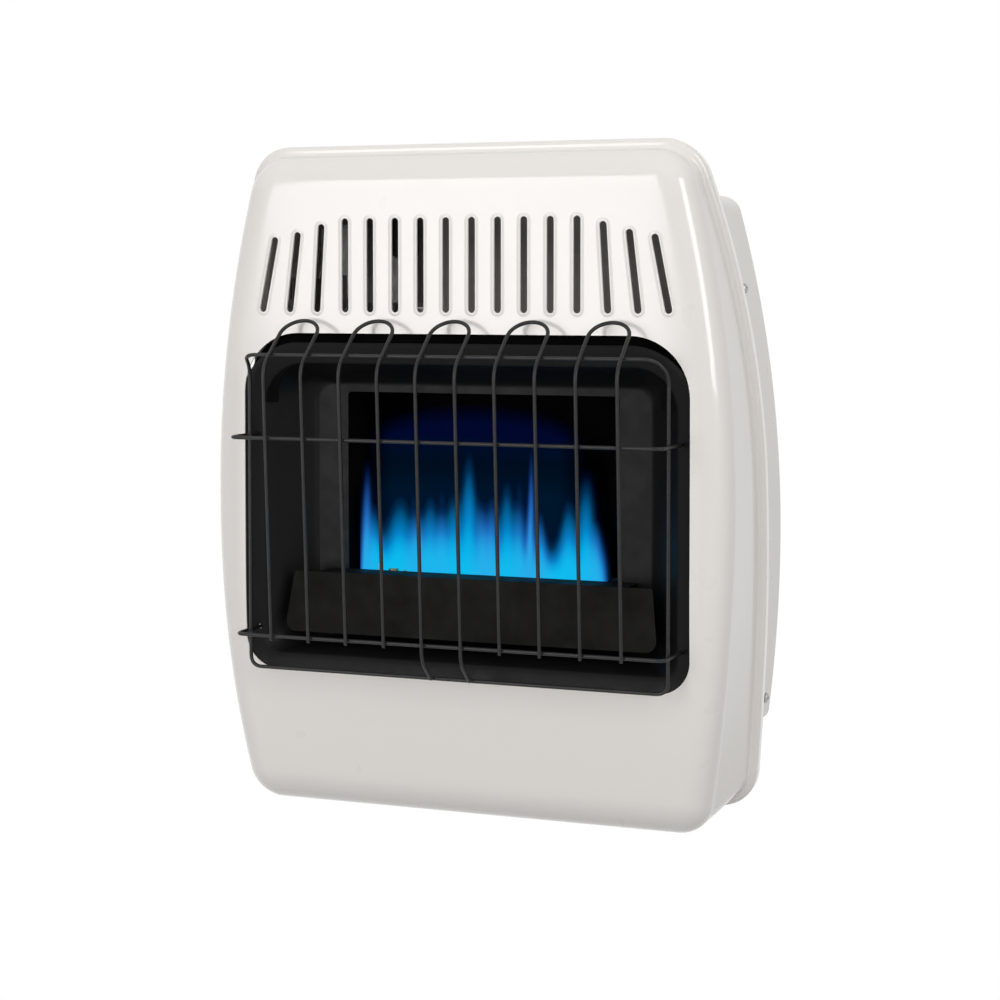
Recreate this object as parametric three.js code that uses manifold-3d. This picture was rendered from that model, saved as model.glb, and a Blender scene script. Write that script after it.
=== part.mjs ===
// Wall mounted gas room heater: a pressed steel front casing with a wide window, a wire guard,
// a black firebox behind the window, and the valve, regulator and igniter behind the slots.
//
// Units are millimetres. +Z is up, the front faces -Y and the wall is the plane y = 0.
// The origin is the middle of the back panel. Depths in the names below are measured back
// from the front face of the casing, and deep() turns such a depth into a y value.
import * as THREE from 'three';
import { mergeVertices } from 'three/addons/utils/BufferGeometryUtils.js';
import Module from 'manifold-3d';

const wasm = await Module();
wasm.setup();

// ---------------------------------------------------------------- driving dimensions
const CASING_DEPTH = 165;        // face of the casing to the wall
const TOUCH = 0.3;               // clearance between pieces that rest on each other
const SHEET = 1.2;               // pressed steel of casing, surround and back panel
const THIN_SHEET = 1.0;          // rear casing, firebox and brackets

// Flange of the front casing: the outermost line, with its rolled edge.
const FLANGE_HALF_WIDTH = 239;
const FLANGE_TOP = 281;
const FLANGE_BOTTOM = -266;
const FLANGE_WIDEST = 0;
const FLANGE_BOW_UP = 900;       // radius of the bowed side above its widest height
const FLANGE_BOW_DOWN = 3400;
const FLANGE_CORNER_TOP = 44;
const FLANGE_CORNER_BOTTOM = 40;
const FLANGE_DEPTH_TOP = 26;
const FLANGE_DEPTH_SIDE = 84;
const FLANGE_DEPTH_TURN = -120;  // height below which the flange keeps its side depth
const FLANGE_DEPTH_POWER = 1.6;  // how evenly it comes forward above that height
const EDGE_ROLL = 4;
const EDGE_LIP = 8;

// Raised face of the front casing, measured where its rounded edge is widest.
const FACE_HALF_WIDTH = 229;
const FACE_TOP = 272;
const FACE_BOTTOM = -280;
const FACE_WIDEST = -10;
const FACE_BOW_UP = 1040;
const FACE_BOW_DOWN = 1390;
const FACE_CORNER = 38;
const FACE_ROLL = 24;            // width of the rounded edge along the sides
const FACE_ROLL_END = 29;        // its width along top and bottom
const FACE_ROLL_DEPTH = 20.5;
const FACE_FLAT_TO = -70;        // the face is flat above this height and falls back below it
const FACE_FALL = 18;
const FACE_MARGIN = 4;           // flat strip kept between the rounded edge and the face's panels
const WALL_FOOT = 6;             // where the wall meets the flange, in from the outermost line
const FOOT_BEND = 3;             // reach of the bend there

// Window in the face.
const WINDOW_HALF_WIDTH = 196.5;
const WINDOW_TOP = 123.5;
const WINDOW_BOTTOM = -162;
const WINDOW_CORNER_TOP = 50;
const WINDOW_CORNER_BOTTOM = 28;

// Louvre slots above the window.
const SLOT_WIDTH = 6;
const SLOT_PITCH = 22.7;
const SLOT_COUNT = 10;           // upright slots; leaning ones stand beside them
const SLOT_TOP = 219;
const SLOT_BOTTOM = 141;
const LEANING_FEET = [128, 153.2, 178.5];
const LEANING_HEADS = [124, 146, 167.2];
const LEANING_TOPS = [214.5, 208, 204];

// Rear casing, a band of sheet round the back panel.
const REAR_HALF_WIDTH = 229;
const REAR_TOP = 240;
const REAR_BOTTOM = -208;
const REAR_WIDEST = -45;
const REAR_BOW_UP = 1040;
const REAR_BOW_DOWN = 1280;
const REAR_CORNER_TOP = 18;
const REAR_CORNER_BOTTOM = 10;
const REAR_LAP = 2;              // how far its front edge reaches inside the flange
const REAR_RETURN = 9;           // inward flange round its front and back edges

// Side screws and the tabs of the back panel that take them.
const UPPER_SCREW_HEIGHT = 161;
const UPPER_SCREW_DEPTH = 118;
const LOWER_SCREW_HEIGHT = -186;
const LOWER_SCREW_DEPTH = 146;
const SIDE_SCREWS = [
  { label: 'upper', height: UPPER_SCREW_HEIGHT, depth: UPPER_SCREW_DEPTH },
  { label: 'lower', height: LOWER_SCREW_HEIGHT, depth: LOWER_SCREW_DEPTH },
];
const SCREW_SHANK = 1.8;
const SCREW_HEAD = 4.2;
const SCREW_HEAD_HEIGHT = 2.4;
const TAB_HEIGHT = 18;
const TAB_WIDTH = 20;

// Wall bracket, let into a window of the back panel.
const BRACKET_WIDTH = 240;
const BRACKET_HEIGHT = 46;
const BRACKET_CENTRE = 120;
const HOOK_WIDTH = 30;
const HOOK_RISE = 12;
const HOOK_OFFSET = 80;

// Window surround: a pressed black pan behind the window.
const PAN_GAP = 8;               // open air slot between window and pan along the top
const PAN_LAP = 5;               // how far the pan reaches behind the casing at sides and bottom
const PAN_SEAT = 0.5;            // clearance behind the curved lower part of the face
const PAN_BEVEL = 17;
const PAN_BEVEL_DEPTH = 8;
const PAN_DEPTH = 49;
const PAN_FUNNEL = 34;           // how far its walls draw in from bevel to floor

// Opening in the floor of the pan, through which the flames show.
const MOUTH_HALF_WIDTH = 122.5;
const MOUTH_TOP = 72.5;
const MOUTH_BOTTOM = -104;

// Flame shield, the sloped plate in front of the burner.
const SHIELD_TOP = { height: -80, depth: 20, halfWidth: 160 };
const SHIELD_BOTTOM = { height: -131, depth: 13, halfWidth: 165 };
const SHIELD_CORNER = 9;
const SHIELD_FLANGE_HALF_WIDTH = 138;

// Firebox behind the mouth.
const BOX_HALF_WIDTH = 130;
const BOX_TOP = 92;
const BOX_BOTTOM = -126;
const BOX_BACK = 140;
const VENT_HALF_WIDTH = 100;     // slot in the roof where the warm air leaves
const VENT_FRONT = 84;
const VENT_BACK = 122;

// Burner inside the firebox.
const BURNER_HALF_LENGTH = 112;
const BURNER_WIDTH = 34;
const BURNER_HEIGHT = 26;
const BURNER_DEPTH = 84;         // depth of its middle line
const BURNER_TOP = -84;
const BURNER_WALL = 1.5;
const PORT_COUNT = 14;
const PORT_WIDTH = 3;
const PORT_LENGTH = 22;
const VENTURI_RADIUS = 9;
const VENTURI_LENGTH = 62;
const BELL_RADIUS = 13;
const FOOT_THICKNESS = 1.5;

// Wire guard.
const WIRE = 1.6;                // radius of the guard's wire
const BAR_PAIRS = [-135.5, -67.6, 0, 67.6, 135.5];
const PAIR_HALF_GAP = 17;
const BAR_TOP = { height: 97, depth: -51 };
const BAR_BOTTOM = { height: -131, depth: -38 };
const LOOP_TOP = { height: 134, depth: -8 };
const CROSS_HALF_WIDTH = 187;
const CROSS_HEIGHTS = [37.5, -128];
const HOOK_DEPTH = 20;           // where the cross wires end, in holes of the pan
const FRAME_DEPTH = -15;
const FRAME_TOP = 106;
const FRAME_BOTTOM = -158;
const FRAME_CORNER = 12;
const FRAME_BEND = 10;

// Gas valve, knob and igniter on the roof of the rear casing.
const VALVE_X = -148;
const CONTROL_DEPTH = 112;
const VALVE_SIZE = { width: 44, depth: 34, height: 42 };
const VALVE_TOP = 214;
const STEM_RADIUS = 4;
const KNOB_RADIUS = 19;
const KNOB_HEIGHT = 20;
const KNOB_CLEARANCE = 4.5;      // between knob and roof, taken up when it is pressed
const COLLAR_RADIUS = 9;
const COLLAR_HEIGHT = 5;
const IGNITER_X = -96;
const BUTTON_RADIUS = 9;
const IGNITER_RADIUS = 12;

// Pipes and small parts of the gas train.
const PIPE = 4;                  // radius of the gas pipes
const PILOT_PIPE = 2;
const LEAD = 1.5;
const REGULATOR_RADIUS = 24;
const REGULATOR_HEIGHT = 30;
const INLET_X = -175;

const NIPPLE_RADIUS = 9.5;       // threaded gas inlet under the casing
const NIPPLE_BORE = 6;
const NIPPLE_DROP = 16;
const INLET_DEPTH = 125;
const INLET_NUT = 13;
const INLET_NUT_HEIGHT = 14;
const REGULATOR_FOOT = -75;
const UNION_HEIGHT = 9;
const INJECTOR_RADIUS = 7;
const INJECTOR_LENGTH = 9;
const INJECTOR_GAP = 5;
const STEM_BORE = 14;
const PUSH_TRAVEL = 4;
const COLLAR_FOOT = 224;
const KNOB_SOCKET = 11;
const GRIP_WIDTH = 7;
const VALVE_PLATE_DROP = 24;
const VALVE_PLATE_RIGHT = -104;
const MANIFOLD_TURN = 110;       // how far below the valve the manifold pipe turns down

// Igniter neck, nut and button.
const NECK_RADIUS = 10;
const NECK_RISE = 6;
const NECK_NUT = 15;
const NECK_NUT_HEIGHT = 4;
const BORE_DEPTH = 14;
const BUTTON_SHAFT = 7;
const BUTTON_TRAVEL = 6;
const BUTTON_CAP = 4;
const IGNITER_FOOT = 182;

// Pilot group at the left end of the burner.
const PILOT_X = 27 - BURNER_HALF_LENGTH;
const PROBE_X = PILOT_X + 13;
const ELECTRODE_X = PILOT_X - 13;
const PILOT_SHELF_MARGIN = 7;    // of the bracket beyond probe and electrode
const PILOT_DEPTH = 60;
const PROBE_DEPTH = 55;
const PILOT_SHELF = -96;
const PILOT_FOOT = -112;
const PILOT_TOP = -80;
const PILOT_RADIUS = 3.5;
const ELECTRODE_RADIUS = 3;
const PILOT_PIPE_LEVEL = -121;
const LEAD_LEVEL = -116;

// Brackets, deflector and roof slots.
const STAY_OFFSET = 100;
const STAY_FOOT = 14;
const STAY_BOTTOM = -70;
const STAY_TOP = 60;
const DEFLECTOR_LEFT = -72;
const DEFLECTOR_RIGHT = 168;
const DEFLECTOR_DEPTH = 142;
const DEFLECTOR_FOLD = 172;
const DEFLECTOR_LIP_DEPTH = 104;
const DEFLECTOR_TOP = 228;
const FOOT_SETBACK = 24;         // from the burner's end to its foot
const FOOT_LENGTH = 14;
const ROOF_SLOTS = 10;
const ROOF_SLOT_PITCH = 20;
const ROOF_SLOT_START = -40;
const ROOF_SLOT_WIDTH = 8;
const ROOF_SLOT_FRONT = 80;
const ROOF_SLOT_BACK = 150;
const WALL_HOLE = 2.5;
const SCREW_LENGTH = 9;
const PAN_CORNER = 14;
const PAN_FUNNEL_TOP = 19;
const PAN_FUNNEL_BOTTOM = 13;
const LOOP_STEPS = 8;
const LOOP_BEND = 10;            // reach of the bends in the upright bars
const BURNER_AXIS = BURNER_TOP - BURNER_HEIGHT / 2;

// ---------------------------------------------------------------- finishes
const finishes = {
  enamel: { color: 0xf2efe9, roughness: 0.25, metalness: 0.0 },
  black: { color: 0x1c1c1d, roughness: 0.55, metalness: 0.1 },
  wire: { color: 0x161617, roughness: 0.45, metalness: 0.2 },
  steel: { color: 0xa9abac, roughness: 0.4, metalness: 0.9 },
  aluminised: { color: 0x8f9190, roughness: 0.55, metalness: 0.8 },
  brass: { color: 0xb08d4a, roughness: 0.35, metalness: 0.9 },
  alloy: { color: 0x9b9da0, roughness: 0.5, metalness: 0.7 },
  plastic: { color: 0x151516, roughness: 0.5, metalness: 0.0 },
  ceramic: { color: 0xe9e4da, roughness: 0.5, metalness: 0.0 },
};

const heater = new THREE.Group();

function deep(depth) {
  return depth - CASING_DEPTH;
}

function place(name, geometry, finish) {
  const mesh = new THREE.Mesh(geometry, new THREE.MeshStandardMaterial(finishes[finish]));
  mesh.name = name;
  heater.add(mesh);
  return mesh;
}

// ---------------------------------------------------------------- solids and booleans
function solidOf(geometry) {
  const bare = geometry.clone();
  bare.deleteAttribute('normal');
  bare.deleteAttribute('uv');
  const merged = mergeVertices(bare, 1e-4);
  const triVerts = Uint32Array.from(merged.index.array);
  const vertProperties = Float32Array.from(merged.attributes.position.array);
  return new wasm.Manifold(new wasm.Mesh({ numProp: 3, vertProperties, triVerts }));
}

function geometryOf(solid) {
  const mesh = solid.getMesh();
  const geometry = new THREE.BufferGeometry();
  geometry.setAttribute('position', new THREE.BufferAttribute(Float32Array.from(mesh.vertProperties), 3));
  geometry.setIndex(Array.from(mesh.triVerts));
  geometry.computeVertexNormals();
  return geometry;
}

function cut(geometry, tools) {
  let solid = solidOf(geometry);
  for (const tool of tools) solid = solid.subtract(solidOf(tool));
  return geometryOf(solid);
}

function join(geometries) {
  let solid = solidOf(geometries[0]);
  for (const other of geometries.slice(1)) solid = solid.add(solidOf(other));
  return geometryOf(solid);
}

// A block between two corners, given as [x, y, z].
function block(low, high) {
  const size = high.map((value, axis) => value - low[axis]);
  const geometry = new THREE.BoxGeometry(...size);
  geometry.translate(...low.map((value, axis) => value + size[axis] / 2));
  return geometry;
}

// A turned piece from [radius, along] points, standing at `base` and pointing along `axis`.
function turned(profile, base, axis = [0, 0, 1], sides = 24) {
  const points = profile.map(([radius, along]) => new THREE.Vector2(radius, along));
  const geometry = new THREE.LatheGeometry(points, sides);
  const turn = new THREE.Quaternion();
  turn.setFromUnitVectors(new THREE.Vector3(0, 1, 0), new THREE.Vector3(...axis));
  geometry.applyQuaternion(turn);
  geometry.translate(...base);
  return geometry;
}

function rod(radius, length, base, axis, sides = 16) {
  return turned([[0, 0], [radius, 0], [radius, length], [0, length]], base, axis, sides);
}

function hexagon(radius, length, base, axis) {
  return rod(radius, length, base, axis, 6);
}

// A flat plate cut from an outline in x and z, between two depths.
function plate(outlinePoints, front, back) {
  const shape = new THREE.Shape(outlinePoints.map((p) => new THREE.Vector2(p.x, p.z)));
  const geometry = new THREE.ExtrudeGeometry(shape, { depth: back - front, bevelEnabled: false });
  geometry.rotateX(Math.PI / 2);
  geometry.translate(0, deep(back), 0);
  return geometry;
}

// ---------------------------------------------------------------- wires and pipes
// A route that passes through its own points, one step for each.
class Route extends THREE.Curve {
  constructor(points) {
    super();
    this.points = points;
  }

  getPoint(t, target = new THREE.Vector3()) {
    const last = this.points.length - 1;
    const at = Math.min(Math.max(t, 0), 1) * last;
    const index = Math.min(Math.floor(at), last - 1);
    return target.lerpVectors(this.points[index], this.points[index + 1], at - index);
  }

  getUtoTmapping(u) {
    return u;
  }
}

// Rounds the corners of a bent wire, with `steps` pieces in each bend.
function bent(corners, radius, steps = 3) {
  const at = corners.map((corner) => new THREE.Vector3(...corner));
  const points = [at[0]];
  for (let i = 1; i < at.length - 1; i += 1) {
    const before = at[i - 1].clone().sub(at[i]);
    const after = at[i + 1].clone().sub(at[i]);
    const reach = Math.min(radius, before.length() * 0.49, after.length() * 0.49);
    const start = at[i].clone().addScaledVector(before.normalize(), reach);
    const end = at[i].clone().addScaledVector(after.normalize(), reach);
    const bend = new THREE.QuadraticBezierCurve3(start, at[i], end);
    points.push(...bend.getPoints(steps));
  }
  points.push(at[at.length - 1]);
  return points;
}

function sweep(points, radius, sides = 8) {
  const section = [];
  for (let i = 0; i < sides; i += 1) {
    const angle = (i / sides) * 2 * Math.PI;
    section.push(new THREE.Vector2(radius * Math.cos(angle), radius * Math.sin(angle)));
  }
  return new THREE.ExtrudeGeometry(new THREE.Shape(section), {
    steps: points.length - 1,
    extrudePath: new Route(points),
    bevelEnabled: false,
  });
}

// ---------------------------------------------------------------- outlines
const CORNER_STEPS = 6;
const SIDE_STEPS = 7;
const PAN_SIDE_STEPS = 4;
const ROLL_STEPS = 5;

// A closed outline, the same left and right: flat ends, bowed sides and rounded corners.
// Each point carries the outward direction there, in x and z.
function outline(size, sideSteps = SIDE_STEPS) {
  const { halfWidth, top, bottom, widest, bowUp, bowDown, cornerTop, cornerBottom } = size;
  const side = [];
  const quarter = (bow, end, corner, sign) => {
    const bowCentre = halfWidth - bow;
    const rise = Math.abs(end - widest) - corner;
    const cornerX = bowCentre + Math.sqrt((bow - corner) ** 2 - rise ** 2);
    const lean = Math.atan2(rise, cornerX - bowCentre);
    const points = [];
    for (let i = 0; i <= CORNER_STEPS; i += 1) {
      const angle = Math.PI / 2 + (lean - Math.PI / 2) * (i / CORNER_STEPS);
      const nx = Math.cos(angle);
      const nz = sign * Math.sin(angle);
      points.push({ x: cornerX + corner * nx, z: widest + sign * rise + corner * nz, nx, nz });
    }
    for (let i = 1; i <= sideSteps; i += 1) {
      const angle = lean * (1 - i / sideSteps);
      const nx = Math.cos(angle);
      const nz = sign * Math.sin(angle);
      points.push({ x: bowCentre + bow * nx, z: widest + bow * nz, nx, nz });
    }
    return points;
  };
  side.push(...quarter(bowUp, top, cornerTop, 1));
  side.push(...quarter(bowDown, bottom, cornerBottom, -1).reverse().slice(1));
  const mirrored = side.map((p) => ({ x: -p.x, z: p.z, nx: -p.nx, nz: p.nz })).reverse();
  return [...side, ...mirrored];
}

function inset(points, distance) {
  return points.map((p) => ({ ...p, x: p.x - p.nx * distance, z: p.z - p.nz * distance }));
}

const flangeLine = outline({
  halfWidth: FLANGE_HALF_WIDTH,
  top: FLANGE_TOP,
  bottom: FLANGE_BOTTOM,
  widest: FLANGE_WIDEST,
  bowUp: FLANGE_BOW_UP,
  bowDown: FLANGE_BOW_DOWN,
  cornerTop: FLANGE_CORNER_TOP,
  cornerBottom: FLANGE_CORNER_BOTTOM,
});

const faceLine = outline({
  halfWidth: FACE_HALF_WIDTH,
  top: FACE_TOP,
  bottom: FACE_BOTTOM,
  widest: FACE_WIDEST,
  bowUp: FACE_BOW_UP,
  bowDown: FACE_BOW_DOWN,
  cornerTop: FACE_CORNER,
  cornerBottom: FACE_CORNER,
});

const rearLine = outline({
  halfWidth: REAR_HALF_WIDTH,
  top: REAR_TOP,
  bottom: REAR_BOTTOM,
  widest: REAR_WIDEST,
  bowUp: REAR_BOW_UP,
  bowDown: REAR_BOW_DOWN,
  cornerTop: REAR_CORNER_TOP,
  cornerBottom: REAR_CORNER_BOTTOM,
});

const STRAIGHT = 40000;          // bow radius of a side that is as good as straight

function windowLine() {
  return outline({
    halfWidth: WINDOW_HALF_WIDTH,
    top: WINDOW_TOP,
    bottom: WINDOW_BOTTOM,
    widest: (WINDOW_TOP + WINDOW_BOTTOM) / 2,
    bowUp: STRAIGHT,
    bowDown: STRAIGHT,
    cornerTop: WINDOW_CORNER_TOP,
    cornerBottom: WINDOW_CORNER_BOTTOM,
  }, 1);
}

function rearBow(height) {
  return height > REAR_WIDEST ? REAR_BOW_UP : REAR_BOW_DOWN;
}

// Half width of the rear casing's outside at a height.
function rearHalfWidth(height) {
  const bow = rearBow(height);
  return REAR_HALF_WIDTH - bow + Math.sqrt(bow ** 2 - (height - REAR_WIDEST) ** 2);
}

// ---------------------------------------------------------------- pressed sheet
// Rings of points, all of one length, become a sheet of the given thickness. A capped sheet
// has its first ring closed by strips across; otherwise the sheet is a band with a hole.
function pressedSheet(rings, thickness, capped) {
  const count = rings[0].length;
  const outer = rings.map((ring) => ring.map((p) => new THREE.Vector3(p.x, p.y, p.z)));
  const along = new THREE.Vector3();
  const across = new THREE.Vector3();
  const normalAt = (r, i) => {
    const ring = outer[r];
    along.subVectors(ring[(i + 1) % count], ring[(i + count - 1) % count]);
    const next = outer[Math.min(r + 1, outer.length - 1)][i];
    const back = outer[Math.max(r - 1, 0)][i];
    const one = next.clone().sub(ring[i]).normalize();
    const two = ring[i].clone().sub(back).normalize();
    if (r === 0) two.copy(one);
    if (r === outer.length - 1) one.copy(two);
    across.addVectors(one, two).normalize();
    const mitre = Math.max(across.dot(one), 0.6);
    return new THREE.Vector3().crossVectors(across, along).setLength(thickness / mitre);
  };
  const inner = outer.map((ring, r) => ring.map((point, i) => point.clone().add(normalAt(r, i))));
  const positions = [];
  for (const ring of [...outer, ...inner]) {
    for (const point of ring) positions.push(point.x, point.y, point.z);
  }
  const rows = outer.length;
  const id = (row, i) => row * count + (i % count);
  const index = [];
  const band = (rowA, rowB) => {
    for (let i = 0; i < count; i += 1) {
      index.push(id(rowA, i), id(rowB, i), id(rowB, i + 1));
      index.push(id(rowA, i), id(rowB, i + 1), id(rowA, i + 1));
    }
  };
  const cap = (row, flip) => {
    for (let i = 0; i < count / 2 - 1; i += 1) {
      const a = id(row, i);
      const b = id(row, i + 1);
      const c = id(row, count - 1 - i);
      const d = id(row, count - 2 - i);
      const faces = [[a, b, c], [b, d, c]];
      for (const face of faces) index.push(...(flip ? face.reverse() : face));
    }
  };
  for (let row = 0; row < rows - 1; row += 1) {
    band(row, row + 1);
    band(rows + row + 1, rows + row);
  }
  band(rows - 1, 2 * rows - 1);
  if (capped) {
    cap(0, false);
    cap(rows, true);
  } else {
    band(rows, 0);
  }
  const geometry = new THREE.BufferGeometry();
  geometry.setAttribute('position', new THREE.Float32BufferAttribute(positions, 3));
  geometry.setIndex(index);
  return outward(geometry);
}

// Turns every face round if the body is inside out.
function outward(geometry) {
  const position = geometry.attributes.position;
  const index = geometry.index.array;
  const corners = [new THREE.Vector3(), new THREE.Vector3(), new THREE.Vector3()];
  let volume = 0;
  for (let i = 0; i < index.length; i += 3) {
    corners.forEach((corner, k) => corner.fromBufferAttribute(position, index[i + k]));
    volume += corners[0].dot(corners[1].clone().cross(corners[2]));
  }
  if (volume < 0) {
    for (let i = 0; i < index.length; i += 3) {
      [index[i], index[i + 1]] = [index[i + 1], index[i]];
    }
  }
  geometry.computeVertexNormals();
  return geometry;
}

// ---------------------------------------------------------------- front casing
// How far the face has fallen back at a height.
function faceFall(height) {
  const below = Math.max(0, FACE_FLAT_TO - height) / (FACE_FLAT_TO - FACE_BOTTOM);
  return FACE_FALL * below ** 2;
}

function flangeDepth(height) {
  const up = Math.max(0, height - FLANGE_DEPTH_TURN) / (FLANGE_TOP - FLANGE_DEPTH_TURN);
  return FLANGE_DEPTH_SIDE - (FLANGE_DEPTH_SIDE - FLANGE_DEPTH_TOP) * up ** FLANGE_DEPTH_POWER;
}

function slotTool(foot, head) {
  const steps = 6;
  const start = new THREE.Vector2(foot.x, foot.z);
  const end = new THREE.Vector2(head.x, head.z);
  const lean = end.clone().sub(start).angle();
  const radius = SLOT_WIDTH / 2;
  const points = [];
  for (const [centre, from] of [[start, lean + Math.PI / 2], [end, lean - Math.PI / 2]]) {
    for (let i = 0; i <= steps; i += 1) {
      const angle = from + (Math.PI * i) / steps;
      points.push({ x: centre.x + radius * Math.cos(angle), z: centre.y + radius * Math.sin(angle) });
    }
  }
  return plate(points, -5, 5);
}

function slotTools() {
  const tools = [];
  const radius = SLOT_WIDTH / 2;
  for (let i = 0; i < SLOT_COUNT; i += 1) {
    const x = (i - (SLOT_COUNT - 1) / 2) * SLOT_PITCH;
    tools.push(slotTool({ x, z: SLOT_BOTTOM + radius }, { x, z: SLOT_TOP - radius }));
  }
  LEANING_FEET.forEach((footX, index) => {
    for (const side of [-1, 1]) {
      const foot = { x: side * footX, z: SLOT_BOTTOM + radius };
      const head = { x: side * LEANING_HEADS[index], z: LEANING_TOPS[index] - radius };
      tools.push(slotTool(foot, head));
    }
  });
  return tools;
}

// A ring at a share of the rounded edge's width inside its widest line, or further in.
function faceRing(share, further, depth) {
  return faceLine.map((p) => {
    const distance = (FACE_ROLL + (FACE_ROLL_END - FACE_ROLL) * p.nz ** 2) * share + further;
    const z = p.z - p.nz * distance;
    return new THREE.Vector3(p.x - p.nx * distance, deep(depth + faceFall(z)), z);
  });
}

function frontCasing() {
  const rings = [faceRing(1, FACE_MARGIN, 0)];
  for (let i = 0; i <= ROLL_STEPS; i += 1) {
    const angle = (Math.PI / 2) * (i / ROLL_STEPS);
    rings.push(faceRing(1 - Math.sin(angle), 0, FACE_ROLL_DEPTH * (1 - Math.cos(angle))));
  }
  const rollEnd = rings[rings.length - 1];
  const rolled = (distance, back) => inset(flangeLine, distance).map((p, i) => new THREE.Vector3(
    p.x, deep(flangeDepth(flangeLine[i].z) + back), p.z));
  const foot = rolled(WALL_FOOT, -EDGE_ROLL);
  const flangeFront = rolled(EDGE_ROLL, -EDGE_ROLL);
  const bends = rollEnd.map((point, i) => {
    const wall = foot[i].clone().sub(point);
    const reach = Math.max(wall.length() - FOOT_BEND, wall.length() / 2);
    return new THREE.QuadraticBezierCurve3(wall.setLength(reach).add(point), foot[i], flangeFront[i]);
  });
  for (const part of [0, 0.5, 1]) rings.push(bends.map((bend) => bend.getPoint(part)));
  rings.push(rolled(EDGE_ROLL * 0.3, -EDGE_ROLL * 0.7));
  rings.push(rolled(0, 0));
  rings.push(rolled(0.4, EDGE_LIP));
  const body = pressedSheet(rings, SHEET, true);
  const windowTool = plate(windowLine(), -5, 30);
  place('front_casing', cut(body, [windowTool, ...slotTools()]), 'enamel');
}

frontCasing();

// ---------------------------------------------------------------- rear casing and back panel
// Point and outward direction on the rear casing's side, at a height.
function rearSide(side, height) {
  const lean = Math.asin((height - REAR_WIDEST) / rearBow(height));
  return {
    point: [side * rearHalfWidth(height), height],
    normal: [side * Math.cos(lean), 0, Math.sin(lean)],
  };
}

function sideScrewTool({ height, depth }, side) {
  const { point, normal } = rearSide(side, height);
  const reach = 20;
  const base = [point[0] - normal[0] * reach, deep(depth), point[1] - normal[2] * reach];
  return rod(SCREW_SHANK + TOUCH, 2 * reach, base, normal);
}

function rearCasing() {
  const frontDepth = rearLine.map((p) => flangeDepth(p.z) - REAR_LAP);
  const ring = (distance, depths) => inset(rearLine, distance).map((p, i) => (
    { x: p.x, y: deep(depths[i]), z: p.z }));
  const rings = [
    ring(REAR_RETURN, frontDepth),
    ring(0, frontDepth),
    ring(0, rearLine.map(() => CASING_DEPTH)),
  ];
  const body = pressedSheet(rings, THIN_SHEET, false);
  const tools = [];
  for (const screw of SIDE_SCREWS) {
    tools.push(sideScrewTool(screw, -1), sideScrewTool(screw, 1));
  }
  const roof = [0, 0, 1];
  tools.push(rod(STEM_RADIUS + 1, 20, [VALVE_X, deep(CONTROL_DEPTH), REAR_TOP - 10], roof));
  tools.push(rod(NECK_RADIUS + TOUCH, 20, [IGNITER_X, deep(CONTROL_DEPTH), REAR_TOP - 10], roof));
  tools.push(rod(NIPPLE_RADIUS + TOUCH, 20, [INLET_X, deep(INLET_DEPTH), REAR_BOTTOM - 10], roof));
  for (let i = 0; i < ROOF_SLOTS; i += 1) {
    const x = ROOF_SLOT_START + i * ROOF_SLOT_PITCH;
    tools.push(block(
      [x, deep(ROOF_SLOT_FRONT), REAR_TOP - 10],
      [x + ROOF_SLOT_WIDTH, deep(ROOF_SLOT_BACK), REAR_TOP + 10],
    ));
  }
  place('rear_casing', cut(body, tools), 'enamel');
}

function backPanel() {
  const front = CASING_DEPTH - SHEET;
  const pieces = [plate(inset(rearLine, THIN_SHEET + TOUCH), front, CASING_DEPTH)];
  const tools = [];
  for (const screw of SIDE_SCREWS) {
    for (const side of [-1, 1]) {
      const low = screw.height - TAB_HEIGHT / 2;
      const high = screw.height + TAB_HEIGHT / 2;
      const reach = Math.min(rearHalfWidth(low), rearHalfWidth(high)) - THIN_SHEET - TOUCH;
      const xs = [side * reach, side * (reach - SHEET)].sort((a, b) => a - b);
      pieces.push(block(
        [xs[0], deep(screw.depth - TAB_WIDTH / 2), low],
        [xs[1], deep(CASING_DEPTH - SHEET / 2), high],
      ));
      tools.push(sideScrewTool(screw, side));
    }
  }
  const halfWidth = BRACKET_WIDTH / 2 + TOUCH;
  const halfHeight = BRACKET_HEIGHT / 2 + TOUCH;
  tools.push(block(
    [-halfWidth, deep(front - 5), BRACKET_CENTRE - halfHeight],
    [halfWidth, deep(CASING_DEPTH + 5), BRACKET_CENTRE + halfHeight],
  ));
  place('back_panel', cut(join(pieces), tools), 'aluminised');
}

function wallBracket() {
  const halfWidth = BRACKET_WIDTH / 2;
  const top = BRACKET_CENTRE + BRACKET_HEIGHT / 2;
  const front = CASING_DEPTH - SHEET;
  const pieces = [block(
    [-halfWidth, deep(front), BRACKET_CENTRE - BRACKET_HEIGHT / 2],
    [halfWidth, deep(CASING_DEPTH), top],
  )];
  const hookBack = front - TOUCH;
  for (const side of [-1, 1]) {
    const left = side * HOOK_OFFSET - HOOK_WIDTH / 2;
    const right = left + HOOK_WIDTH;
    pieces.push(block(
      [left, deep(hookBack - SHEET), top - HOOK_RISE],
      [right, deep(front + SHEET / 2), top - TOUCH],
    ));
    pieces.push(block(
      [left, deep(hookBack - SHEET), top - 2 * TOUCH],
      [right, deep(hookBack), top + HOOK_RISE],
    ));
  }
  const tools = [-1, 1].map((side) => rod(
    WALL_HOLE, 20, [side * HOOK_OFFSET / 2, deep(CASING_DEPTH) - 10, BRACKET_CENTRE], [0, 1, 0]));
  place('wall_bracket', cut(join(pieces), tools), 'steel');
}

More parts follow.
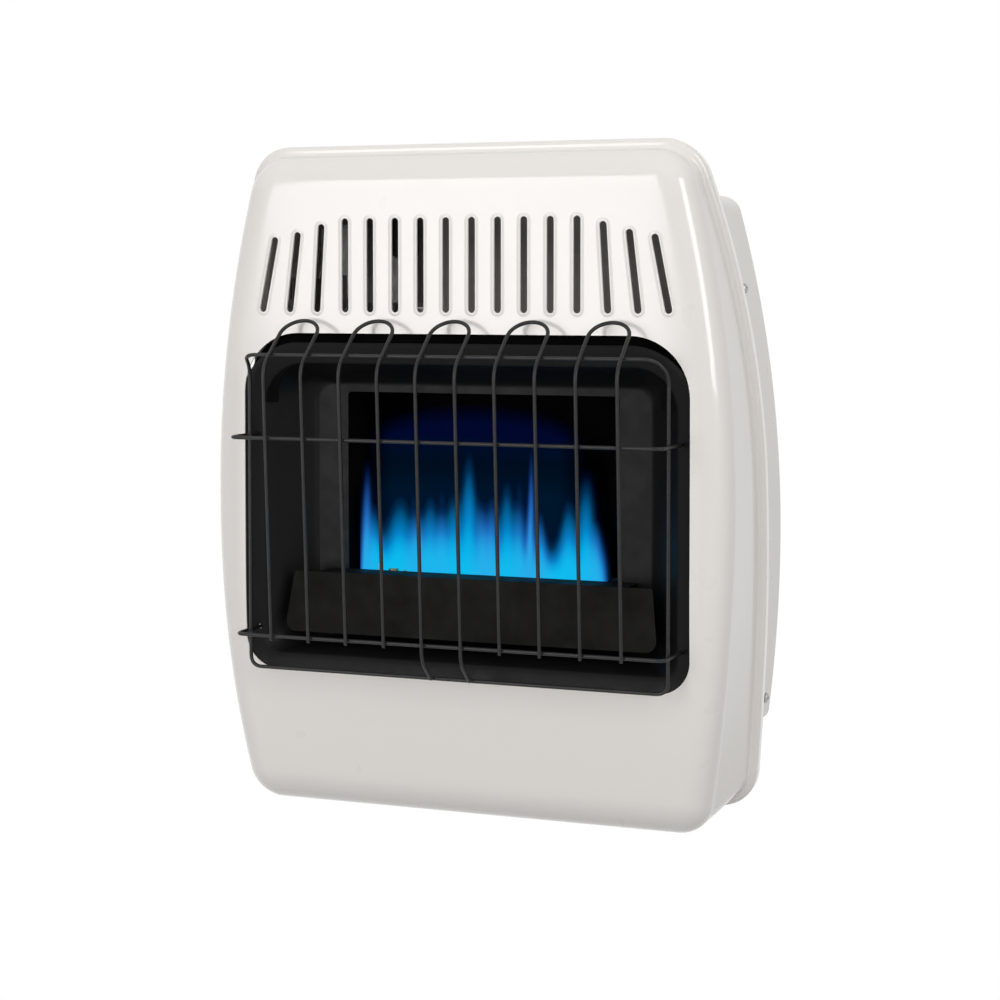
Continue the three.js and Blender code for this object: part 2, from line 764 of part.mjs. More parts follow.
function sideScrews() {
  const names = { '-1': 'left', 1: 'right' };
  for (const screw of SIDE_SCREWS) {
    for (const side of [-1, 1]) {
      const { point, normal } = rearSide(side, screw.height);
      const start = SCREW_LENGTH;
      const base = [point[0] - normal[0] * start, deep(screw.depth), point[1] - normal[2] * start];
      const profile = [
        [0, 0],
        [SCREW_SHANK, 0],
        [SCREW_SHANK, start + TOUCH],
        [SCREW_HEAD, start + TOUCH],
        [SCREW_HEAD, start + TOUCH + SCREW_HEAD_HEIGHT * 0.4],
        [SCREW_HEAD * 0.6, start + TOUCH + SCREW_HEAD_HEIGHT],
        [0, start + TOUCH + SCREW_HEAD_HEIGHT],
      ];
      place(`side_screw_${screw.label}_${names[side]}`, turned(profile, base, normal, 12), 'steel');
    }
  }
}

// ---------------------------------------------------------------- window surround and shield
function windowSurround() {
  const ring = (drawn, share, depth) => {
    const line = outline({
      halfWidth: WINDOW_HALF_WIDTH + PAN_LAP - drawn - PAN_FUNNEL * share,
      top: WINDOW_TOP - PAN_GAP - drawn - PAN_FUNNEL_TOP * share,
      bottom: WINDOW_BOTTOM - PAN_LAP + drawn + PAN_FUNNEL_BOTTOM * share,
      widest: (WINDOW_TOP + WINDOW_BOTTOM) / 2,
      bowUp: STRAIGHT,
      bowDown: STRAIGHT,
      cornerTop: Math.max(WINDOW_CORNER_TOP + PAN_LAP - drawn - PAN_FUNNEL * share, PAN_CORNER),
      cornerBottom: Math.max(WINDOW_CORNER_BOTTOM + PAN_LAP - drawn - PAN_FUNNEL * share, PAN_CORNER),
    }, PAN_SIDE_STEPS);
    const kept = 1 - depth / PAN_DEPTH;
    return line.map((p) => ({ x: p.x, y: deep(depth + faceFall(p.z) * kept), z: p.z }));
  };
  const seat = SHEET + PAN_SEAT;
  const rings = [
    ring(PAN_BEVEL + 4, 1, PAN_DEPTH),
    ring(PAN_BEVEL, 1, PAN_DEPTH),
    ring(PAN_BEVEL - 1, 0.92, PAN_DEPTH - 3),
    ring(PAN_BEVEL + 1, 0.12, PAN_BEVEL_DEPTH + 6),
    ring(PAN_BEVEL, 0, PAN_BEVEL_DEPTH),
    ring(PAN_LAP, 0, seat + 1),
    ring(0, 0, seat),
  ];
  const body = pressedSheet(rings, SHEET, true);
  const tools = [block(
    [-MOUTH_HALF_WIDTH, deep(PAN_DEPTH - 5), MOUTH_BOTTOM],
    [MOUTH_HALF_WIDTH, deep(PAN_DEPTH + 5), MOUTH_TOP],
  )];
  for (const height of CROSS_HEIGHTS) {
    for (const side of [-1, 1]) {
      tools.push(rod(WIRE + TOUCH, 30, [side * CROSS_HALF_WIDTH, deep(-5), height], [0, 1, 0], 12));
    }
  }
  place('window_surround', cut(body, tools), 'black');
}

function flameShield() {
  const shape = new THREE.Shape();
  const top = SHIELD_TOP.height;
  const bottom = SHIELD_BOTTOM.height;
  shape.moveTo(-SHIELD_TOP.halfWidth, top);
  shape.lineTo(SHIELD_TOP.halfWidth, top);
  shape.lineTo(SHIELD_BOTTOM.halfWidth, bottom + SHIELD_CORNER);
  const foot = SHIELD_BOTTOM.halfWidth;
  shape.quadraticCurveTo(foot, bottom, foot - SHIELD_CORNER, bottom);
  shape.lineTo(SHIELD_CORNER - foot, bottom);
  shape.quadraticCurveTo(-foot, bottom, -foot, bottom + SHIELD_CORNER);
  const leaf = { depth: SHEET, bevelEnabled: false, curveSegments: 4 };
  const front = new THREE.ExtrudeGeometry(shape, leaf);
  front.rotateX(Math.PI / 2);
  front.translate(0, SHEET, 0);
  const slope = (SHIELD_TOP.depth - SHIELD_BOTTOM.depth) / (top - bottom);
  const shear = new THREE.Matrix4().set(
    1, 0, 0, 0,
    0, 1, slope, deep(SHIELD_TOP.depth) - slope * top,
    0, 0, 1, 0,
    0, 0, 0, 1,
  );
  front.applyMatrix4(shear);
  const seat = PAN_DEPTH - TOUCH;
  const pieces = [front];
  for (const edge of [SHIELD_TOP, SHIELD_BOTTOM]) {
    const low = edge === SHIELD_TOP ? top - SHEET : bottom;
    pieces.push(block(
      [-SHIELD_FLANGE_HALF_WIDTH, deep(edge.depth + SHEET / 2), low],
      [SHIELD_FLANGE_HALF_WIDTH, deep(seat), low + SHEET],
    ));
  }
  place('flame_shield', join(pieces), 'black');
}

// ---------------------------------------------------------------- firebox and deflector
function firebox() {
  const front = PAN_DEPTH + SHEET + TOUCH;
  const body = block(
    [-BOX_HALF_WIDTH, deep(front), BOX_BOTTOM],
    [BOX_HALF_WIDTH, deep(BOX_BACK), BOX_TOP],
  );
  const wall = THIN_SHEET;
  const tools = [
    block(
      [-BOX_HALF_WIDTH + wall, deep(front - 5), BOX_BOTTOM + wall],
      [BOX_HALF_WIDTH - wall, deep(BOX_BACK - wall), BOX_TOP - wall],
    ),
    block(
      [-VENT_HALF_WIDTH, deep(VENT_FRONT), BOX_TOP - 5],
      [VENT_HALF_WIDTH, deep(VENT_BACK), BOX_TOP + 5],
    ),
    rod(VENTURI_RADIUS + TOUCH, 10, [-BOX_HALF_WIDTH - 5, deep(BURNER_DEPTH), BURNER_AXIS],
      [1, 0, 0], 20),
  ];
  for (const [radius, depth, height] of [
    [PILOT_PIPE, PILOT_DEPTH, PILOT_PIPE_LEVEL],
    [LEAD, PILOT_DEPTH, LEAD_LEVEL],
    [LEAD, PROBE_DEPTH, LEAD_LEVEL],
  ]) {
    tools.push(rod(radius + TOUCH, 10, [-BOX_HALF_WIDTH - 5, deep(depth), height], [1, 0, 0], 10));
  }
  place('firebox', cut(body, tools), 'black');
}

function fireboxBrackets() {
  const names = { '-1': 'left', 1: 'right' };
  const back = CASING_DEPTH - SHEET - TOUCH;
  const front = BOX_BACK + TOUCH;
  for (const side of [-1, 1]) {
    const x = side * STAY_OFFSET;
    const foot = STAY_FOOT;
    const pieces = [
      block([x, deep(front), STAY_BOTTOM], [x + foot, deep(front + THIN_SHEET), STAY_TOP]),
      block([x, deep(front), STAY_BOTTOM], [x + THIN_SHEET, deep(back), STAY_TOP]),
      block([x - foot, deep(back - THIN_SHEET), STAY_BOTTOM], [x + THIN_SHEET, deep(back), STAY_TOP]),
    ];
    place(`firebox_stay_${names[side]}`, join(pieces), 'aluminised');
  }
}

function heatDeflector() {
  const base = BOX_TOP + TOUCH;
  const line = [
    [VENT_BACK + 2, base],
    [DEFLECTOR_DEPTH, base],
    [DEFLECTOR_DEPTH, DEFLECTOR_FOLD],
    [DEFLECTOR_LIP_DEPTH, DEFLECTOR_TOP],
  ];
  const pieces = [];
  for (let i = 0; i < line.length - 1; i += 1) {
    pieces.push(foldedLeaf(line[i], line[i + 1], THIN_SHEET, DEFLECTOR_LEFT, DEFLECTOR_RIGHT));
  }
  place('heat_deflector', join(pieces), 'aluminised');
}

// A flat leaf of sheet between two [depth, height] lines, running along x.
function foldedLeaf(from, to, thickness, left, right) {
  const start = new THREE.Vector2(deep(from[0]), from[1]);
  const end = new THREE.Vector2(deep(to[0]), to[1]);
  const run = end.clone().sub(start).normalize();
  const side = new THREE.Vector2(-run.y, run.x).multiplyScalar(thickness);
  const over = run.clone().multiplyScalar(thickness / 2);
  const corners = [
    start.clone(),
    end.clone().add(over),
    end.clone().add(over).add(side),
    start.clone().add(side),
  ];
  const geometry = new THREE.ExtrudeGeometry(new THREE.Shape(corners), {
    depth: right - left,
    bevelEnabled: false,
  });
  const turn = new THREE.Matrix4().set(
    0, 0, 1, left,
    1, 0, 0, 0,
    0, 1, 0, 0,
    0, 0, 0, 1,
  );
  geometry.applyMatrix4(turn);
  return geometry;
}

// ---------------------------------------------------------------- burner
function burner() {
  const front = BURNER_DEPTH - BURNER_WIDTH / 2;
  const back = BURNER_DEPTH + BURNER_WIDTH / 2;
  const bottom = BURNER_TOP - BURNER_HEIGHT;
  const wall = BURNER_WALL;
  const body = block(
    [-BURNER_HALF_LENGTH, deep(front), bottom],
    [BURNER_HALF_LENGTH, deep(back), BURNER_TOP],
  );
  const tools = [
    block(
      [-BURNER_HALF_LENGTH + wall, deep(front + wall), bottom + wall],
      [BURNER_HALF_LENGTH - wall, deep(back - wall), BURNER_TOP - wall],
    ),
    rod(VENTURI_RADIUS - wall, 10, [-BURNER_HALF_LENGTH - 5, deep(BURNER_DEPTH), BURNER_AXIS],
      [1, 0, 0], 20),
  ];
  const pitch = (2 * BURNER_HALF_LENGTH) / PORT_COUNT;
  for (let i = 0; i < PORT_COUNT; i += 1) {
    const x = -BURNER_HALF_LENGTH + pitch * (i + 0.5);
    tools.push(block(
      [x - PORT_WIDTH / 2, deep(BURNER_DEPTH - PORT_LENGTH / 2), BURNER_TOP - 5],
      [x + PORT_WIDTH / 2, deep(BURNER_DEPTH + PORT_LENGTH / 2), BURNER_TOP + 5],
    ));
  }
  place('burner', cut(body, tools), 'alloy');
}

function burnerVenturi() {
  const wall = BURNER_WALL;
  const profile = [
    [VENTURI_RADIUS - wall, 0],
    [VENTURI_RADIUS, 0],
    [VENTURI_RADIUS, VENTURI_LENGTH * 0.72],
    [BELL_RADIUS, VENTURI_LENGTH],
    [BELL_RADIUS - wall, VENTURI_LENGTH],
    [VENTURI_RADIUS - wall, VENTURI_LENGTH * 0.72],
    [VENTURI_RADIUS - wall, 0],
  ];
  const base = [-BURNER_HALF_LENGTH - TOUCH, deep(BURNER_DEPTH), BURNER_AXIS];
  place('burner_venturi', turned(profile, base, [-1, 0, 0], 20), 'alloy');
}

function burnerFeet() {
  const names = { '-1': 'left', 1: 'right' };
  const low = BOX_BOTTOM + THIN_SHEET + TOUCH;
  const high = BURNER_TOP - BURNER_HEIGHT - TOUCH;
  const front = deep(BURNER_DEPTH - BURNER_WIDTH / 2 + 2);
  const back = deep(BURNER_DEPTH + BURNER_WIDTH / 2 - 2);
  for (const side of [-1, 1]) {
    const x = side * (BURNER_HALF_LENGTH - FOOT_SETBACK);
    const pieces = [
      block([x, front, low], [x + FOOT_LENGTH, back, low + FOOT_THICKNESS]),
      block([x, front, low], [x + FOOT_THICKNESS, back, high]),
      block([x, front, high - FOOT_THICKNESS], [x + FOOT_LENGTH, back, high]),
    ];
    place(`burner_foot_${names[side]}`, join(pieces), 'aluminised');
  }
}

function injectorParts() {
  const start = BURNER_HALF_LENGTH + VENTURI_LENGTH + INJECTOR_GAP;
  const axis = [-1, 0, 0];
  const at = (x) => [-x, deep(BURNER_DEPTH), BURNER_AXIS];
  const tip = [[0, 0], [1.6, 0], [4, 5], [4, 8], [0, 8]];
  const pieces = [
    turned(tip, at(start), axis, 12),
    hexagon(INJECTOR_RADIUS, INJECTOR_LENGTH, at(start + 7), axis),
  ];
  place('injector', join(pieces), 'brass');
  const plateX = start + 3;
  const wall = BOX_HALF_WIDTH + TOUCH;
  const half = BELL_RADIUS + 3;
  const front = deep(BURNER_DEPTH - half);
  const back = deep(BURNER_DEPTH + half);
  const low = BURNER_AXIS - half;
  const bracket = join([
    block([-plateX - THIN_SHEET, front, low], [-plateX, back, BURNER_AXIS + half]),
    block([-plateX - THIN_SHEET, front, low], [-wall, back, low + THIN_SHEET]),
    block([-wall - THIN_SHEET, front, low - 10], [-wall, back, low + THIN_SHEET]),
  ]);
  const hole = rod(4 + TOUCH, 20, at(start - 5), axis, 16);
  place('injector_bracket', cut(bracket, [hole]), 'aluminised');
  return start + 7 + INJECTOR_LENGTH;
}

// ---------------------------------------------------------------- pilot, probe and electrode
function pilotParts() {
  const shelf = PILOT_SHELF;
  const floor = BOX_BOTTOM + THIN_SHEET + TOUCH;
  const left = ELECTRODE_X - PILOT_SHELF_MARGIN;
  const right = PROBE_X + PILOT_SHELF_MARGIN;
  const legBack = BURNER_DEPTH - BURNER_WIDTH / 2 - TOUCH;
  const bracket = join([
    block([left, deep(legBack - THIN_SHEET), floor], [right, deep(legBack), shelf + THIN_SHEET]),
    block([left, deep(PROBE_DEPTH - 3), shelf], [right, deep(legBack), shelf + THIN_SHEET]),
  ]);
  const up = [0, 0, 1];
  const holeAt = (radius, x, depth) => rod(radius + TOUCH, 20, [x, deep(depth), shelf - 10], up, 12);
  place('pilot_bracket', cut(bracket, [
    holeAt(PILOT_RADIUS, PILOT_X, PILOT_DEPTH),
    holeAt(LEAD, PROBE_X, PROBE_DEPTH),
    holeAt(ELECTRODE_RADIUS, ELECTRODE_X, PILOT_DEPTH),
  ]), 'aluminised');
  const rise = PILOT_TOP - PILOT_FOOT;
  place('pilot_burner', turned(
    [[0, 0], [PILOT_RADIUS, 0], [PILOT_RADIUS, rise - 6], [PILOT_RADIUS + 1, rise - 6],
      [PILOT_RADIUS + 1, rise], [2, rise], [2, rise - 8], [0, rise - 8]],
    [PILOT_X, deep(PILOT_DEPTH), PILOT_FOOT], up, 14), 'brass');
  place('spark_electrode', turned(
    [[0, 0], [ELECTRODE_RADIUS, 0], [ELECTRODE_RADIUS, rise - 8], [1, rise - 6], [1, rise + 4],
      [0, rise + 4]],
    [ELECTRODE_X, deep(PILOT_DEPTH), PILOT_FOOT], up, 14), 'ceramic');

  const valveFoot = VALVE_TOP - VALVE_SIZE.height - TOUCH;
  const d = deep;
  place('pilot_pipe', sweep(bent([
    [PILOT_X, d(PILOT_DEPTH), PILOT_FOOT - TOUCH],
    [PILOT_X, d(PILOT_DEPTH), PILOT_PIPE_LEVEL],
    [-BOX_HALF_WIDTH - 21, d(PILOT_DEPTH), PILOT_PIPE_LEVEL],
    [-BOX_HALF_WIDTH - 21, d(PILOT_DEPTH + 6), valveFoot - 50],
    [VALVE_X - 14, d(CONTROL_DEPTH - 10), valveFoot - 25],
    [VALVE_X - 14, d(CONTROL_DEPTH - 10), valveFoot],
  ], 8, 3), PILOT_PIPE, 8), 'alloy');
  place('flame_probe', sweep(bent([
    [PROBE_X, d(PROBE_DEPTH), PILOT_TOP],
    [PROBE_X, d(PROBE_DEPTH), LEAD_LEVEL],
    [-BOX_HALF_WIDTH - 8, d(PROBE_DEPTH), LEAD_LEVEL],
    [-BOX_HALF_WIDTH - 8, d(PROBE_DEPTH + 6), valveFoot - 50],
    [VALVE_X + 2, d(CONTROL_DEPTH - 13), valveFoot - 20],
    [VALVE_X + 2, d(CONTROL_DEPTH - 13), valveFoot],
  ], 7, 3), LEAD, 6), 'steel');
  place('igniter_lead', sweep(bent([
    [ELECTRODE_X, d(PILOT_DEPTH), PILOT_FOOT - TOUCH],
    [ELECTRODE_X, d(PILOT_DEPTH), LEAD_LEVEL],
    [-BOX_HALF_WIDTH - 8, d(PILOT_DEPTH), LEAD_LEVEL],
    [-BOX_HALF_WIDTH - 8, d(PILOT_DEPTH + 8), BOX_TOP + 15],
    [IGNITER_X, d(CONTROL_DEPTH - 24), BOX_TOP + 45],
    [IGNITER_X, d(CONTROL_DEPTH), IGNITER_FOOT - 14],
    [IGNITER_X, d(CONTROL_DEPTH), IGNITER_FOOT - TOUCH],
  ], 3, 3), LEAD, 6), 'plastic');
}

// ---------------------------------------------------------------- gas train
function gasTrain(injectorEnd) {
  const up = [0, 0, 1];
  const inletAt = (height) => [INLET_X, deep(INLET_DEPTH), height];
  const nutFoot = REAR_BOTTOM + THIN_SHEET + TOUCH;
  const nipple = turned([
    [NIPPLE_BORE, 0], [NIPPLE_RADIUS, 0], [NIPPLE_RADIUS, NIPPLE_DROP + 6], [0, NIPPLE_DROP + 6],
    [0, NIPPLE_DROP], [NIPPLE_BORE, NIPPLE_DROP], [NIPPLE_BORE, 0],
  ], inletAt(REAR_BOTTOM - NIPPLE_DROP), up, 20);
  const inletNut = hexagon(INLET_NUT, INLET_NUT_HEIGHT, inletAt(nutFoot), up);
  place('inlet_fitting', join([nipple, inletNut]), 'brass');
  const pipeFoot = nutFoot + INLET_NUT_HEIGHT + TOUCH;
  place('inlet_pipe', rod(PIPE, REGULATOR_FOOT - TOUCH - pipeFoot, inletAt(pipeFoot), up, 12), 'alloy');
  const r = REGULATOR_RADIUS;
  const h = REGULATOR_HEIGHT;
  place('regulator', turned([
    [0, 0], [r * 0.45, 0], [r * 0.45, h * 0.15], [r * 0.9, h * 0.3], [r * 0.9, h * 0.45], [r, h * 0.45],
    [r, h * 0.62], [r * 0.85, h * 0.62], [r * 0.6, h], [0, h],
  ], inletAt(REGULATOR_FOOT), up, 18), 'alloy');
  const capFoot = REGULATOR_FOOT + h + TOUCH;
  place('regulator_union', hexagon(INJECTOR_RADIUS, UNION_HEIGHT, inletAt(capFoot), up), 'brass');
  const pipeStart = capFoot + UNION_HEIGHT + TOUCH;
  const valveFoot = VALVE_TOP - VALVE_SIZE.height;
  const supplyEnd = valveFoot - TOUCH;
  place('supply_pipe', sweep(bent([
    inletAt(pipeStart),
    inletAt(valveFoot - 62),
    [VALVE_X, deep(CONTROL_DEPTH + 6), valveFoot - 26],
    [VALVE_X, deep(CONTROL_DEPTH + 6), supplyEnd],
  ], 16, 4), PIPE, 10), 'alloy');
  place('manifold_pipe', sweep(bent([
    [VALVE_X + 14, deep(CONTROL_DEPTH - 8), supplyEnd],
    [VALVE_X + 14, deep(CONTROL_DEPTH - 8), valveFoot - 20],
    [-injectorEnd - 6, deep(BURNER_DEPTH), valveFoot - MANIFOLD_TURN],
    [-injectorEnd - 6, deep(BURNER_DEPTH), BURNER_AXIS],
    [-injectorEnd - TOUCH, deep(BURNER_DEPTH), BURNER_AXIS],
  ], 12, 4), PIPE, 10), 'alloy');

  const { width, depth, height } = VALVE_SIZE;
  const body = block(
    [VALVE_X - width / 2, deep(CONTROL_DEPTH - depth / 2), VALVE_TOP - height],
    [VALVE_X + width / 2, deep(CONTROL_DEPTH + depth / 2), VALVE_TOP],
  );
  const bore = rod(STEM_RADIUS + TOUCH, 30, [VALVE_X, deep(CONTROL_DEPTH), VALVE_TOP - STEM_BORE], up);
  const boss = rod(width * 0.3, 4, [VALVE_X, deep(CONTROL_DEPTH), VALVE_TOP - 1], up, 20);
  place('gas_valve', cut(join([body, boss]), [bore]), 'alloy');
  const plateFront = CONTROL_DEPTH + depth / 2 + TOUCH;
  const back = CASING_DEPTH - SHEET - TOUCH;
  const low = valveFoot - VALVE_PLATE_DROP;
  place('valve_bracket', join([
    block(
      [VALVE_X - width / 2, deep(plateFront), low],
      [VALVE_PLATE_RIGHT, deep(plateFront + THIN_SHEET), VALVE_TOP],
    ),
    block(
      [VALVE_X - width / 2, deep(plateFront), low],
      [VALVE_PLATE_RIGHT, deep(back), low + THIN_SHEET],
    ),
  ]), 'enamel');
}

// ---------------------------------------------------------------- controls on the roof
function controls() {
  const up = [0, 0, 1];
  const stemAt = (height) => [VALVE_X, deep(CONTROL_DEPTH), height];
  const knobFoot = REAR_TOP + KNOB_CLEARANCE;
  const stemFoot = VALVE_TOP - STEM_BORE + PUSH_TRAVEL + 2;
  const stemTop = knobFoot + KNOB_SOCKET - TOUCH;
  place('valve_stem', rod(STEM_RADIUS, stemTop - stemFoot, stemAt(stemFoot), up), 'brass');
  const inner = STEM_RADIUS + TOUCH;
  place('stem_collar', turned([
    [inner, 0], [COLLAR_RADIUS, 0], [COLLAR_RADIUS, COLLAR_HEIGHT], [inner, COLLAR_HEIGHT], [inner, 0],
  ], stemAt(COLLAR_FOOT), up, 20), 'steel');
  const r = KNOB_RADIUS;
  const h = KNOB_HEIGHT;
  const cap = turned([
    [0, 0], [r, 0], [r, h * 0.4], [r * 0.93, h * 0.55], [r * 0.86, h * 0.6], [0, h * 0.6],
  ], stemAt(knobFoot), up, 32);
  const grip = block(
    [VALVE_X - GRIP_WIDTH / 2, deep(CONTROL_DEPTH) - r * 0.9, knobFoot + h * 0.4],
    [VALVE_X + GRIP_WIDTH / 2, deep(CONTROL_DEPTH) + r * 0.9, knobFoot + h],
  );
  const socket = rod(inner, KNOB_SOCKET + 5, stemAt(knobFoot - 5), up);
  place('control_knob', cut(join([cap, grip]), [socket]), 'plastic');

  const igniterAt = (height) => [IGNITER_X, deep(CONTROL_DEPTH), height];
  const shoulder = REAR_TOP - THIN_SHEET - TOUCH - IGNITER_FOOT;
  const neckTop = REAR_TOP + NECK_RISE - IGNITER_FOOT;
  const bore = BUTTON_SHAFT + TOUCH;
  const boreFoot = neckTop - BORE_DEPTH;
  place('igniter_body', turned([
    [0, 0], [IGNITER_RADIUS * 0.5, 0], [IGNITER_RADIUS * 0.5, 4], [IGNITER_RADIUS, 8],
    [IGNITER_RADIUS, shoulder], [NECK_RADIUS, shoulder], [NECK_RADIUS, neckTop], [bore, neckTop],
    [bore, boreFoot], [0, boreFoot],
  ], igniterAt(IGNITER_FOOT), up, 16), 'plastic');
  const nut = hexagon(NECK_NUT, NECK_NUT_HEIGHT, igniterAt(REAR_TOP + TOUCH), up);
  const thread = rod(NECK_RADIUS + TOUCH, 20, igniterAt(REAR_TOP - 5), up, 24);
  place('igniter_nut', cut(nut, [thread]), 'steel');
  const shaftFoot = REAR_TOP + NECK_RISE - BORE_DEPTH + BUTTON_TRAVEL + 1;
  const capFoot = REAR_TOP + NECK_RISE + BUTTON_TRAVEL + TOUCH - shaftFoot;
  place('igniter_button', turned([
    [0, 0], [BUTTON_SHAFT, 0], [BUTTON_SHAFT, capFoot], [BUTTON_RADIUS, capFoot],
    [BUTTON_RADIUS, capFoot + BUTTON_CAP * 0.7], [BUTTON_RADIUS * 0.8, capFoot + BUTTON_CAP],
    [0, capFoot + BUTTON_CAP],
  ], igniterAt(shaftFoot), up, 16), 'plastic');
}

// ---------------------------------------------------------------- wire guard
// Depth of the bars' middle line at a height, on the straight part and on the bent-back part.
function barDepth(height) {
  const low = height < BAR_TOP.height;
  const from = low ? BAR_BOTTOM : BAR_TOP;
  const to = low ? BAR_TOP : LOOP_TOP;
  const share = (height - from.height) / (to.height - from.height);
  return from.depth + (to.depth - from.depth) * share;
}

function guardHairpins() {
  const rise = new THREE.Vector2(LOOP_TOP.height - BAR_TOP.height, LOOP_TOP.depth - BAR_TOP.depth);
  rise.normalize();
  BAR_PAIRS.forEach((x, index) => {
    const left = x - PAIR_HALF_GAP;
    const right = x + PAIR_HALF_GAP;
    const loopFoot = {
      height: LOOP_TOP.height - rise.x * PAIR_HALF_GAP,
      depth: LOOP_TOP.depth - rise.y * PAIR_HALF_GAP,
    };
    const bendHeight = BAR_BOTTOM.height - LOOP_BEND;
    const foot = x === 0
      ? [[FRAME_BOTTOM, FRAME_DEPTH - 2 * WIRE - TOUCH], [bendHeight, barDepth(bendHeight)]]
      : [[BAR_BOTTOM.height, BAR_BOTTOM.depth]];
    const leg = (side) => [
      ...foot.map(([height, depth]) => [side, deep(depth), height]),
      [side, deep(BAR_TOP.depth), BAR_TOP.height],
      [side, deep(loopFoot.depth), loopFoot.height],
    ];
    const leftLeg = bent(leg(left), LOOP_BEND, 3);
    const rightLeg = bent(leg(right), LOOP_BEND, 3).reverse();
    const loop = [];
    for (let i = 1; i < LOOP_STEPS; i += 1) {
      const angle = Math.PI * (i / LOOP_STEPS);
      const out = Math.sin(angle) * PAIR_HALF_GAP;
      loop.push(new THREE.Vector3(
        x - PAIR_HALF_GAP * Math.cos(angle),
        deep(loopFoot.depth + rise.y * out),
        loopFoot.height + rise.x * out,
      ));
    }
    place(`guard_hairpin_${index + 1}`, sweep([...leftLeg, ...loop, ...rightLeg], WIRE, 8), 'wire');
  });
}

function guardCrossWires() {
  const names = ['guard_cross_upper', 'guard_cross_lower'];
  CROSS_HEIGHTS.forEach((height, index) => {
    const depth = barDepth(height) + 2 * WIRE + TOUCH;
    const corners = [
      [-CROSS_HALF_WIDTH, deep(HOOK_DEPTH), height],
      [-CROSS_HALF_WIDTH, deep(depth), height],
      [CROSS_HALF_WIDTH, deep(depth), height],
      [CROSS_HALF_WIDTH, deep(HOOK_DEPTH), height],
    ];
    place(names[index], sweep(bent(corners, 8, 4), WIRE, 8), 'wire');
  });
}

function guardFrame() {
  const half = CROSS_HALF_WIDTH - 2 * WIRE - TOUCH;
  const slope = Math.hypot(LOOP_TOP.height - BAR_TOP.height, LOOP_TOP.depth - BAR_TOP.depth)
    / (LOOP_TOP.height - BAR_TOP.height);
  const topDepth = barDepth(FRAME_TOP) + (2 * WIRE + TOUCH) * slope;
  const seam = TOUCH / 2;
  const corners = [
    [seam, deep(FRAME_DEPTH), FRAME_BOTTOM],
    [half, deep(FRAME_DEPTH), FRAME_BOTTOM],
    [half, deep(FRAME_DEPTH), FRAME_TOP - FRAME_CORNER],
    [half - FRAME_CORNER / 2, deep(topDepth), FRAME_TOP],
    [FRAME_CORNER / 2 - half, deep(topDepth), FRAME_TOP],
    [-half, deep(FRAME_DEPTH), FRAME_TOP - FRAME_CORNER],
    [-half, deep(FRAME_DEPTH), FRAME_BOTTOM],
    [-seam, deep(FRAME_DEPTH), FRAME_BOTTOM],
  ];
  place('guard_frame', sweep(bent(corners, FRAME_BEND, 4), WIRE, 8), 'wire');
}

rearCasing();
backPanel();
wallBracket();
sideScrews();
windowSurround();
flameShield();
firebox();
fireboxBrackets();
heatDeflector();
burner();
burnerVenturi();
burnerFeet();
gasTrain(injectorParts());
pilotParts();
controls();
guardHairpins();
guardCrossWires();
guardFrame();

export default heater;
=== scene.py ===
# %% [markdown]
# # A wall mounted gas heater
# The heater's real shape comes from its construction model, which is loaded as a fixed frame.
# Here it gets its looks: a smooth enamelled casing, a satin black window, coated wire, metal,
# plastic and a row of blue flames. Everything is in metres, the front faces -Y and +Z is up.

# %% Load the frame
import math

import bmesh
import bpy
from mathutils import Matrix, Vector


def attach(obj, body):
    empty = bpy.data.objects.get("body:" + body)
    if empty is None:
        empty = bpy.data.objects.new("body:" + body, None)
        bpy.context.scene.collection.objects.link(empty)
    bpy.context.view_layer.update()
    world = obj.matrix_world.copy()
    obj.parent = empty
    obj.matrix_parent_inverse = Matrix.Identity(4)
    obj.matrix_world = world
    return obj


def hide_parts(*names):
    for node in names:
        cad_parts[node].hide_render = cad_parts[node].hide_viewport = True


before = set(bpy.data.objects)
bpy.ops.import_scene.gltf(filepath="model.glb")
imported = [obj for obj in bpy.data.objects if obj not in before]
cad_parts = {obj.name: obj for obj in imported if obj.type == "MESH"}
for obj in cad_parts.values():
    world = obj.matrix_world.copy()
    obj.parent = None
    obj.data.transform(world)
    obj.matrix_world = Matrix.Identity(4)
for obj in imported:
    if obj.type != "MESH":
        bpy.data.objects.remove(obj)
bpy.context.view_layer.update()

# %% [markdown]
# ## Camera
# The picture is a product shot from the heater's right. The camera is almost level, and a small
# lens shift frames the heater lower than the camera stands, which keeps upright lines upright.

# %% Camera
VIEW_AZIMUTH = math.radians(21.18)
VIEW_TILT = math.radians(2.48)
VIEW_PLACE = (0.6748, -1.8127, 0.1633)
VIEW_LENS = 78.47
VIEW_SHIFT = -0.12

bpy.ops.object.camera_add(
    location=VIEW_PLACE, rotation=(math.pi / 2 - VIEW_TILT, 0, VIEW_AZIMUTH)
)
camera = bpy.context.object
camera.name = "view"
camera.data.lens = VIEW_LENS
camera.data.sensor_width = 36
camera.data.shift_y = VIEW_SHIFT
bpy.context.scene.camera = camera
print("camera", VIEW_LENS, "mm at", VIEW_PLACE)

# %% [markdown]
# ## Helpers for modelling
# Operators act on whatever is selected, so every helper first selects just the piece it works on.

# %% Selecting and applying
def pick(*pieces):
    """Selects these pieces alone and makes the first one active."""
    for item in bpy.context.selected_objects:
        item.select_set(False)
    for piece in pieces:
        piece.select_set(True)
    bpy.context.view_layer.objects.active = pieces[0]


def apply_all(piece):
    """Applies every modifier, then the piece's place, turn and scale."""
    pick(piece)
    for modifier in list(piece.modifiers):
        bpy.ops.object.modifier_apply(modifier=modifier.name)
    bpy.ops.object.transform_apply(location=True, rotation=True, scale=True)


def join(name, pieces):
    """Joins several pieces into one, under a new name."""
    pick(*pieces)
    if len(pieces) > 1:
        bpy.ops.object.join()
    bpy.context.object.name = name
    return bpy.context.object


